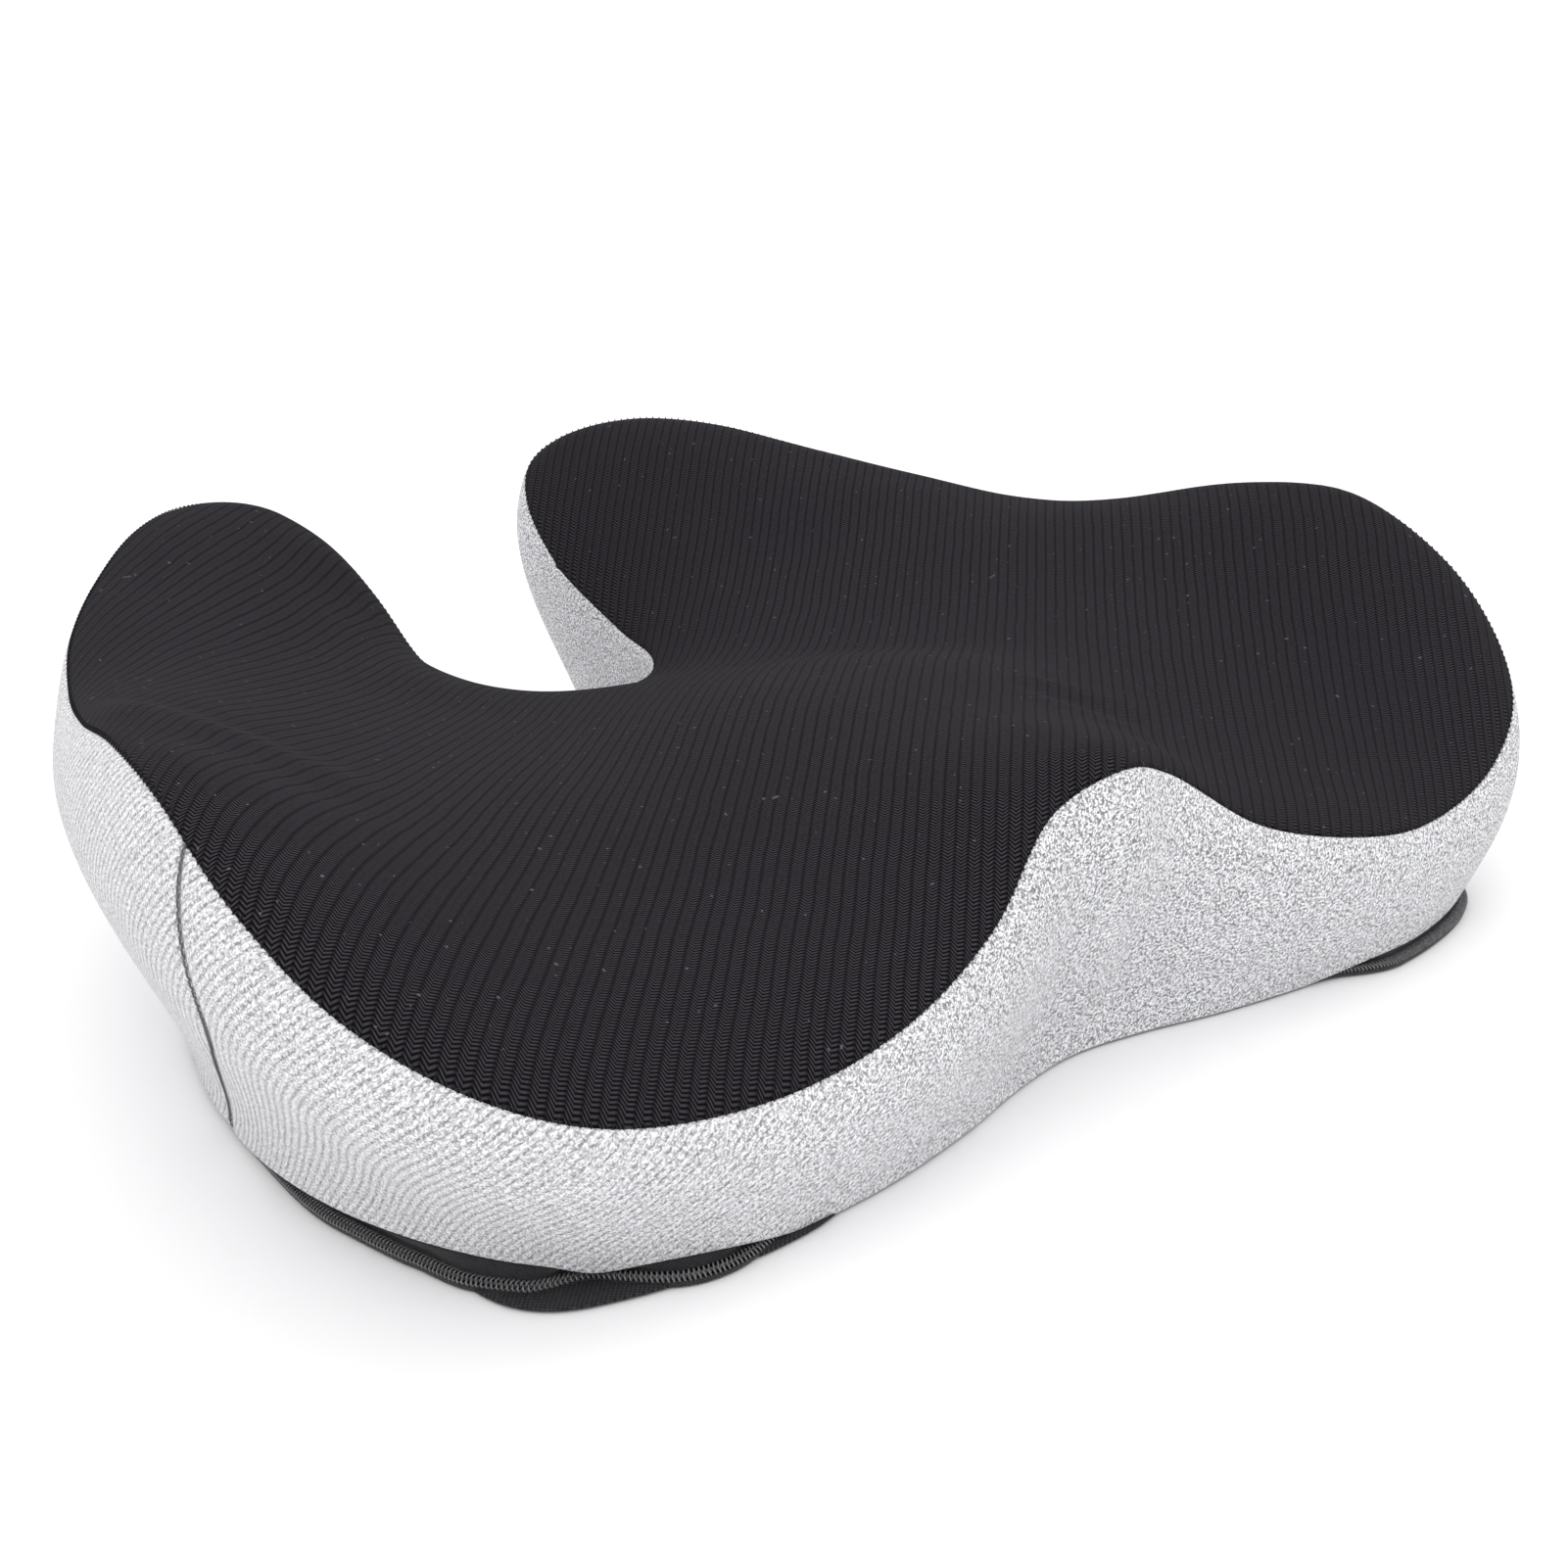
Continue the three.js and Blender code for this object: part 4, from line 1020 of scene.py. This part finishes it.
def tape(name, section, thick, m=10):
    B, N = hem_at(ZIP_P), hem_normal(ZIP_P)
    S = np.concatenate([[0], np.cumsum(np.linalg.norm(np.diff(B, axis=0), axis=1))])
    rows, uvs = [], []
    for k, p in enumerate(ZIP_P):
        mid = resample_line(np.array(section(p), float), m)
        t = np.gradient(mid, axis=0)
        t /= np.linalg.norm(t, axis=1)[:, None]
        nrm = np.stack([-t[:, 1], t[:, 0]], 1) * thick / 2
        # edges are a little thinner, like a selvedge
        nrm[[0, -1]] *= 0.6
        pr = np.vstack([mid + nrm, (mid - nrm)[::-1]])
        rows.append(B[k] + N[k] * pr[:, :1] + np.array([0, 0, 1.0]) * pr[:, 1:])
        run = np.concatenate([[0], np.cumsum(np.linalg.norm(np.diff(mid, axis=0), axis=1))])
        uvs.append(np.stack([np.full(2 * m, S[k]), np.concatenate([run, run[::-1]])], 1))
    G = np.array(rows)
    R, C = G.shape[:2]
    ids = np.arange(R * C).reshape(R, C)
    ids2 = np.concatenate([ids, ids[:, :1]], 1)
    q = grid_quads(ids2)
    caps = []
    for row, flip in ((ids[0], False), (ids[-1], True)):
        for k in range(m - 1):
            f = [row[k], row[k + 1], row[C - 2 - k], row[C - 1 - k]]
            caps.append(f[::-1] if flip else f)
    q = np.vstack([q, np.array(caps)])
    ob = make(name, G.reshape(-1, 3), q, uv=np.array(uvs).reshape(-1, 2))
    bm = bmesh.new()
    bm.from_mesh(ob.data)
    bmesh.ops.recalc_face_normals(bm, faces=bm.faces)
    bm.to_mesh(ob.data)
    bm.free()
    return ob


def upper_section(p):
    o = float(zip_offset(p)[0] - part_at(p)[()] if np.ndim(part_at(p)) == 0 else zip_offset(p)[0] - part_at(p)[0])
    u = min(1, max(0, o / 4))
    top = max(4.3, float(np.ravel(hem_z(p))[0]) - 0.7)
    return [[-0.6, top], [o - 2.8, 3.5 - 0.75 * u], [o - 2.2, 2.3]]


def lower_section(p):
    o = float(zip_offset(p)[0]) + float(np.ravel(part_at(p))[0])
    e = 1.2 * min(1, (p - ZIP_STRAIGHT + 0.6) / 0.6) if p > ZIP_STRAIGHT - 0.6 else 0
    return [[-3.6, 0.65], [o + 0.7 + e, 0.65], [o + 1.3 + e, 1.2], [o + 1.4, 1.85]]


tape_up = tape("zip_tape_upper", upper_section, 0.55)
tape_low = tape("zip_tape_lower", lower_section, 0.55)


def coil(name, side, phase):
    p = by_length(lambda p: hem_at(p) + hem_normal(p) * zip_offset(p)[:, None], -ZIP_END, ZIP_END, 0.11, 20000)
    n = hem_normal(p)
    part = np.array([float(np.ravel(part_at(x))[0]) for x in p[::20]])
    part = np.interp(np.arange(len(p)), np.arange(len(p))[::20], part)
    o = zip_offset(p) + side * part
    s = np.arange(len(p)) * 0.11
    a = 2 * np.pi * (s / 1.2 + phase)
    reach = 0.78 + 0.18 * (part < 0.2)  # closed turns lock past the middle
    across = np.cos(a)
    off = o + side * (0.86 - reach * 0 ) + side * across * -reach
    zz = 2.35 + 0.56 * np.sin(a)
    q = hem_at(p) + n * off[:, None]
    q[:, 2] = zz
    v, f, t = tube_mesh(q, 0.24, 5)
    bag = Bag()
    bag.add(v, f, t)
    return bag.build(name)


coil_up = coil("zip_coil_upper", -1, 0.0)
coil_low = coil("zip_coil_lower", 1, 0.5)
# ---- end stops, slider and pull -------------------------------------------------------------------
def refined(node, name, voxel, rounds=3):
    """A rounded, finely meshed version of a small CAD metal part, in the same place."""
    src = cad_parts[node]
    me = src.data.copy()
    me.transform(src.matrix_world)
    ob = bpy.data.objects.new(name, me)
    bpy.context.scene.collection.objects.link(ob)
    m = ob.modifiers.new("remesh", "REMESH")
    m.mode = "VOXEL"
    m.voxel_size = voxel
    m.use_smooth_shade = True
    s = ob.modifiers.new("smooth", "SMOOTH")
    s.factor = 0.5
    s.iterations = rounds
    dg = bpy.context.evaluated_depsgraph_get()
    bpy.context.view_layer.update()
    new = bpy.data.meshes.new_from_object(ob.evaluated_get(dg))
    ob.modifiers.clear()
    ob.data = new
    new.materials.clear()
    for p in new.polygons:
        p.use_smooth = True
    return ob


stop_a = refined("zipper_top_stop_upper", "zip_top_stop_upper", 0.00012, 4)
stop_b = refined("zipper_top_stop_lower", "zip_top_stop_lower", 0.00012, 4)
stop_c = refined("zipper_bottom_stop", "zip_bottom_stop", 0.00014, 4)
slider = refined("zipper_slider_body", "zip_slider", 0.00014, 3)
pull = refined("zipper_pull_tab", "zip_pull", 0.00012, 3)


# ---- materials ------------------------------------------------------------------------------------
class Nodes:
    def __init__(self, name, base=(0.5, 0.5, 0.5), rough=0.8, metal=0.0, **sockets):
        self.mat = bpy.data.materials.new(name)
        self.mat.use_nodes = True
        self.nt = self.mat.node_tree
        self.b = self.nt.nodes["Principled BSDF"]
        self.b.inputs["Base Color"].default_value = (*base, 1)
        self.b.inputs["Roughness"].default_value = rough
        self.b.inputs["Metallic"].default_value = metal
        for k, v in sockets.items():
            self.b.inputs[k.replace("_", " ")].default_value = v

    def node(self, kind, **kw):
        n = self.nt.nodes.new(kind)
        for k, v in kw.items():
            setattr(n, k, v)
        return n

    def put(self, sock, value):
        if isinstance(value, bpy.types.NodeSocket):
            self.nt.links.new(value, sock)
        else:
            sock.default_value = value

    def math(self, op, a, b=None, c=None, clamp=False):
        n = self.node("ShaderNodeMath", operation=op, use_clamp=clamp)
        for i, v in enumerate((a, b, c)):
            if v is not None:
                self.put(n.inputs[i], v)
        return n.outputs[0]

    def smooth(self, x, lo, hi, a=0.0, b=1.0):
        n = self.node("ShaderNodeMapRange", interpolation_type="SMOOTHSTEP")
        for i, v in enumerate((x, lo, hi, a, b)):
            self.put(n.inputs[i], v)
        return n.outputs[0]

    def mix(self, f, a, b, mode="MIX"):
        n = self.node("ShaderNodeMix", data_type="RGBA", blend_type=mode)
        self.put(n.inputs[0], f)
        self.put(n.inputs[6], a if isinstance(a, bpy.types.NodeSocket) else (*a, 1))
        self.put(n.inputs[7], b if isinstance(b, bpy.types.NodeSocket) else (*b, 1))
        return n.outputs[2]

    def uv(self, name="knit"):
        n = self.node("ShaderNodeUVMap", uv_map=name)
        s = self.node("ShaderNodeSeparateXYZ")
        self.nt.links.new(n.outputs[0], s.inputs[0])
        return n.outputs[0], s.outputs[0], s.outputs[1]

    def combine(self, x, y, z=0.0):
        n = self.node("ShaderNodeCombineXYZ")
        for i, v in enumerate((x, y, z)):
            self.put(n.inputs[i], v)
        return n.outputs[0]

    def noise(self, vec, scale=5.0, detail=2.0, rough=0.5, dim="3D"):
        n = self.node("ShaderNodeTexNoise", noise_dimensions=dim)
        self.put(n.inputs["Vector"], vec)
        n.inputs["Scale"].default_value = scale
        n.inputs["Detail"].default_value = detail
        n.inputs["Roughness"].default_value = rough
        return n.outputs["Fac"]

    def coord(self):
        return self.node("ShaderNodeTexCoord").outputs["Object"]

    def bump(self, height, distance, strength=1.0, normal=None):
        n = self.node("ShaderNodeBump")
        n.inputs["Strength"].default_value = strength
        n.inputs["Distance"].default_value = distance
        self.put(n.inputs["Height"], height)
        if normal is not None:
            self.put(n.inputs["Normal"], normal)
        return n.outputs[0]

    def colour(self, c):
        self.put(self.b.inputs["Base Color"], c)

    def normal(self, n):
        self.put(self.b.inputs["Normal"], n)


def black_knit():
    m = Nodes("black_ribbed_knit", rough=0.85, Sheen_Weight=0.01, Sheen_Roughness=0.5, Specular_IOR_Level=0.04)
    m.b.inputs["Sheen Tint"].default_value = (0.75, 0.72, 0.8, 1)
    vec, x, y = m.uv()
    obj = m.coord()
    wob = m.noise(obj, 45.0, 2.0)
    x = m.math("ADD", x, m.math("MULTIPLY", m.math("SUBTRACT", wob, 0.5), 0.35))
    yw = m.noise(obj, 110.0, 1.0)
    y = m.math("ADD", y, m.math("MULTIPLY", m.math("SUBTRACT", yw, 0.5), 0.8))
    tri = m.math("PINGPONG", x, 0.5)  # 0 in the groove, 0.5 on the rib
    rib = m.smooth(tri, 0.0, 0.2)
    valley = m.smooth(tri, 0.40, 0.5, 1.0, 0.8)
    ph = m.math("ADD", y, m.math("MULTIPLY", tri, 2.4))
    strand = m.math("MULTIPLY_ADD", m.math("SINE", m.math("MULTIPLY", ph, 2 * math.pi)), 0.5, 0.5)
    strand = m.smooth(strand, 0.15, 0.85)
    body = m.math("MULTIPLY", rib, valley)
    h = m.math("MULTIPLY", body, m.math("MULTIPLY_ADD", strand, 0.45, 0.55))
    # painted shade and light: the colour is darkest in the rib grooves and between the stitch loops and lightest on the
    # rib crests, following the same relief as the bump
    lit = m.math("MULTIPLY", m.math("MULTIPLY_ADD", body, 0.62, 0.38), m.math("MULTIPLY_ADD", strand, 1.0, 0.02))
    grain = m.noise(obj, 900.0, 2.0, 0.7)
    lit = m.math("MULTIPLY", lit, m.math("MULTIPLY_ADD", grain, 0.9, 0.5), clamp=True)
    c = m.mix(lit, (0.0012, 0.0010, 0.0013), (0.047, 0.043, 0.0505))
    tone = m.noise(obj, 9.0, 2.0)
    c = m.mix(m.smooth(tone, 0.3, 0.75, 0.0, 0.2), c, (0.013, 0.0115, 0.0145))
    lint = m.noise(obj, 620.0, 0.0)
    c = m.mix(m.smooth(lint, 0.83, 0.86, 0.0, 0.4), c, (0.2, 0.2, 0.21))
    m.colour(c)
    m.normal(m.bump(h, 0.0006, 0.6))
    return m.mat


def grey_knit():
    m = Nodes("grey_heather_knit", rough=0.88, Sheen_Weight=0.06, Sheen_Roughness=0.5, Specular_IOR_Level=0.15)
    vec, x, y = m.uv()
    obj = m.coord()
    _, ax, ay = m.uv("arc")
    wob = m.noise(obj, 60.0, 2.0)
    x = m.math("ADD", x, m.math("MULTIPLY", m.math("SUBTRACT", wob, 0.5), 0.25))
    tri = m.math("PINGPONG", x, 0.5)
    # the ribs stand out round the side (arc coordinate below 5.9) and melt into heather in front; painted shade darkens
    # their grooves there
    show = m.smooth(ax, 5.9, 7.4, 1.0, 0.25)
    rib = m.smooth(tri, 0.05, 0.34)
    ph = m.math("ADD", y, m.math("MULTIPLY", tri, 1.6))
    strand = m.math("MULTIPLY_ADD", m.math("SINE", m.math("MULTIPLY", ph, 2 * math.pi)), 0.5, 0.5)
    # heather: short dark dashes along the yarn, and a salt and pepper grain
    dash_v = m.combine(m.math("MULTIPLY", x, 4.4), m.math("MULTIPLY", ph, 0.8))
    dash = m.noise(dash_v, 1.0, 1.0, 0.5)
    dash_w = m.combine(m.math("MULTIPLY", x, 3.4), m.math("MULTIPLY_ADD", x, -1.2, m.math("MULTIPLY", y, 1.5)))
    dash2 = m.noise(dash_w, 1.1, 1.0, 0.5)
    pepper = m.noise(obj, 1400.0, 1.0, 0.6)
    dark = m.math("MAXIMUM", m.smooth(dash, 0.50, 0.60), m.smooth(dash2, 0.55, 0.66))
    dark = m.math("MAXIMUM", m.math("MULTIPLY", dark, 0.8), m.smooth(pepper, 0.535, 0.59))
    # painted shade in the grooves between the ribs, strongest where the ribs show
    painted_groove_shade = m.math("MULTIPLY", m.math("SUBTRACT", 1.0, rib), show)
    amount = m.math("MULTIPLY_ADD", painted_groove_shade, 0.26, m.math("MULTIPLY", dark, m.math("MULTIPLY_ADD", show, -0.36, 0.9)), clamp=True)
    c = m.mix(amount, (0.88, 0.88, 0.905), (0.10, 0.10, 0.112))
    m.colour(c)
    h = m.math("ADD", m.math("MULTIPLY", m.math("MULTIPLY", rib, show), 0.6), m.math("MULTIPLY", strand, 0.25))
    h = m.math("SUBTRACT", h, m.math("MULTIPLY", dark, 0.25))
    m.normal(m.bump(h, 0.0005, 0.45))
    return m.mat


def tape_cloth():
    m = Nodes("zip_tape_weave", rough=0.82, Specular_IOR_Level=0.25, Sheen_Weight=0.15, Sheen_Roughness=0.5)
    vec, x, y = m.uv()
    tw = m.math("SINE", m.math("MULTIPLY", m.math("ADD", x, y), 2 * math.pi / 0.9))
    tw2 = m.math("SINE", m.math("MULTIPLY", m.math("SUBTRACT", x, y), 2 * math.pi / 0.9))
    w = m.math("MULTIPLY_ADD", m.math("MAXIMUM", tw, tw2), 0.5, 0.5)
    grain = m.noise(m.coord(), 1200.0, 2.0)
    # painted shade: the colour follows the weave's relief, darker in the hollows between threads and lighter on the
    # thread crowns, with random grain on top
    f = m.math("MULTIPLY", w, m.math("MULTIPLY_ADD", grain, 0.8, 0.5), clamp=True)
    m.colour(m.mix(f, (0.003, 0.003, 0.0035), (0.030, 0.030, 0.033)))
    m.normal(m.bump(w, 0.0003, 0.6))
    return m.mat


def coil_nylon():
    m = Nodes("zip_coil_nylon", base=(0.02, 0.02, 0.022), rough=0.28, Specular_IOR_Level=0.6)
    g = m.noise(m.coord(), 700.0, 2.0)
    m.colour(m.mix(g, (0.09, 0.09, 0.094), (0.22, 0.22, 0.225)))
    m.put(m.b.inputs["Roughness"], m.smooth(g, 0.2, 0.8, 0.20, 0.34))
    return m.mat


def thread_mat(name="black_thread", lo=(0.004, 0.004, 0.0045), hi=(0.018, 0.017, 0.019)):
    m = Nodes(name, rough=0.8, Specular_IOR_Level=0.15)
    g = m.noise(m.coord(), 2600.0, 2.0)
    m.colour(m.mix(g, lo, hi))
    m.normal(m.bump(g, 0.0001, 0.5))
    return m.mat


def grey_thread():
    return thread_mat("grey_thread", (0.07, 0.07, 0.075), (0.2, 0.2, 0.21))


def base_mat():
    m = Nodes("base_weave", rough=0.85, Specular_IOR_Level=0.25)
    vec, x, y = m.uv()
    a = m.math("SINE", m.math("MULTIPLY", x, 2 * math.pi / 1.4))
    b = m.math("SINE", m.math("MULTIPLY", y, 2 * math.pi / 1.4))
    w = m.math("MULTIPLY_ADD", m.math("MULTIPLY", a, b), 0.5, 0.5)
    g = m.noise(m.coord(), 800.0, 2.0)
    # painted shade: the colour follows the weave's relief, darker in the hollows between threads and lighter on the
    # thread crowns, with random grain on top
    f = m.math("MULTIPLY", w, m.math("MULTIPLY_ADD", g, 0.8, 0.5), clamp=True)
    m.colour(m.mix(f, (0.006, 0.006, 0.007), (0.045, 0.044, 0.048)))
    m.normal(m.bump(w, 0.0004, 0.6))
    return m.mat


def rubber():
    m = Nodes("grip_rubber", rough=0.5, Specular_IOR_Level=0.45)
    g = m.noise(m.coord(), 300.0, 3.0)
    m.colour(m.mix(g, (0.010, 0.010, 0.011), (0.028, 0.028, 0.030)))
    m.put(m.b.inputs["Roughness"], m.smooth(g, 0.2, 0.8, 0.42, 0.62))
    return m.mat


def foam_mat():
    m = Nodes("memory_foam", rough=0.95, Specular_IOR_Level=0.15, Subsurface_Weight=0.0)
    obj = m.coord()
    v = m.node("ShaderNodeTexVoronoi")
    m.put(v.inputs["Vector"], obj)
    v.inputs["Scale"].default_value = 900.0
    pore = m.smooth(v.outputs["Distance"], 0.15, 0.5)
    big = m.noise(obj, 12.0, 3.0)
    # painted shade in the pores: darker at the pore centres, where the bump is lowest
    c = m.mix(pore, (0.42, 0.34, 0.22), (0.80, 0.71, 0.52))
    c = m.mix(m.smooth(big, 0.35, 0.7, 0.0, 0.25), c, (0.66, 0.56, 0.38))
    m.colour(c)
    m.normal(m.bump(pore, 0.0004, 0.6))
    return m.mat


def enamel():
    m = Nodes("black_enamel", rough=0.32, metal=0.35, Specular_IOR_Level=0.6)
    g = m.noise(m.coord(), 260.0, 3.0)
    m.colour(m.mix(g, (0.015, 0.015, 0.017), (0.045, 0.045, 0.05)))
    m.put(m.b.inputs["Roughness"], m.smooth(g, 0.3, 0.7, 0.24, 0.42))
    m.normal(m.bump(g, 0.00006, 0.4))
    return m.mat


MATS = {k: f() for k, f in dict(black=black_knit, grey=grey_knit, tape=tape_cloth, coil=coil_nylon, thread=thread_mat, greythread=grey_thread, base=base_mat, rubber=rubber, foam=foam_mat, metal=enamel).items()}


def finish_piece(ob, material, body, nodes=()):
    ob.data.materials.clear()
    ob.data.materials.append(MATS[material])
    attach(ob, body)
    if nodes:
        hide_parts(*nodes)


for ob, material, body, slot, nodes in (
    (top, "black", "cushion", "black_knit", ["top_panel"]),
    (front_band, "grey", "cushion", "grey_knit", ["front_side_band"]),
    (rear_band, "grey", "cushion", "grey_knit", ["rear_side_band"]),
    (thread, "thread", "cushion", "black_knit", []),
    (side_thread, "greythread", "cushion", "grey_knit", []),
    (core, "foam", "cushion", "foam", ["foam_core"]),
    (base_cloth, "base", "cushion", "base_fabric", ["base_panel"]),
    (base_edge, "thread", "cushion", "base_fabric", []),
    (grip, "rubber", "cushion", "base_fabric", []),
    (tape_up, "tape", "cushion", "zip_tape", ["zipper_tape_upper"]),
    (tape_low, "tape", "cushion", "zip_tape", ["zipper_tape_lower"]),
    (coil_up, "coil", "cushion", "zip_coil", ["zipper_coil_upper"]),
    (coil_low, "coil", "cushion", "zip_coil", ["zipper_coil_lower"]),
    (stop_a, "metal", "cushion", "zip_metal", ["zipper_top_stop_upper"]),
    (stop_b, "metal", "cushion", "zip_metal", ["zipper_top_stop_lower"]),
    (stop_c, "metal", "cushion", "zip_metal", ["zipper_bottom_stop"]),
    (slider, "metal", "zipper_slider", "zip_metal", ["zipper_slider_body"]),
    (pull, "metal", "zipper_pull", "zip_metal", ["zipper_pull_tab"]),
):
    finish_piece(ob, material, body, nodes)

# ---- camera, floor and light ----------------------------------------------------------------------
scene = bpy.context.scene
az, el, roll = math.radians(-40.3805), math.radians(19.1997), math.radians(-1.0932)
back = Vector((math.sin(az) * math.cos(el), -math.cos(az) * math.cos(el), math.sin(el)))
right = Vector((math.cos(az), math.sin(az), 0))
up = back.cross(right)
target = Vector((9.0227, -25.0238, 44.4584)) * 0.001
cam_data = bpy.data.cameras.new("camera")
cam_data.sensor_width = 36
cam_data.lens = 46.70
cam_data.clip_start = 0.01
cam = bpy.data.objects.new("camera", cam_data)
scene.collection.objects.link(cam)
cx = right * math.cos(roll) + up * math.sin(roll)
cy = -right * math.sin(roll) + up * math.cos(roll)
rot = Matrix((cx, cy, back)).transposed().to_4x4()
cam.matrix_world = Matrix.Translation(target + back * 0.640003) @ rot
scene.camera = cam

bpy.ops.mesh.primitive_plane_add(size=60, location=(0, 0, 0))
floor = bpy.context.object
floor.name = "floor"
fm = Nodes("pale_floor", base=(0.94, 0.94, 0.94), rough=0.9, Specular_IOR_Level=0.1)
floor.data.materials.append(fm.mat)

world = bpy.data.worlds.new("studio")
scene.world = world
world.use_nodes = True
world.node_tree.nodes["Background"].inputs[0].default_value = (1.0, 0.995, 1.0, 1)
world.node_tree.nodes["Background"].inputs[1].default_value = 1.1


def area(name, loc, aim, size, power, tint=(1, 1, 1)):
    d = bpy.data.lights.new(name, "AREA")
    d.shape = "RECTANGLE"
    d.size, d.size_y = size
    d.energy = power
    d.color = tint
    o = bpy.data.objects.new(name, d)
    scene.collection.objects.link(o)
    o.location = loc
    o.rotation_euler = (Vector(aim) - Vector(loc)).to_track_quat("-Z", "Y").to_euler()
    return o


area("key", (-0.9, -0.9, 1.6), (0, 0, 0.03), (1.2, 1.2), 5.5)
area("top", (0.1, 0.3, 1.7), (0, 0, 0.05), (1.8, 1.4), 5)
area("side", (1.5, -0.6, 0.9), (0, 0, 0.05), (1.0, 1.0), 2)
scene.view_settings.view_transform = "Standard"
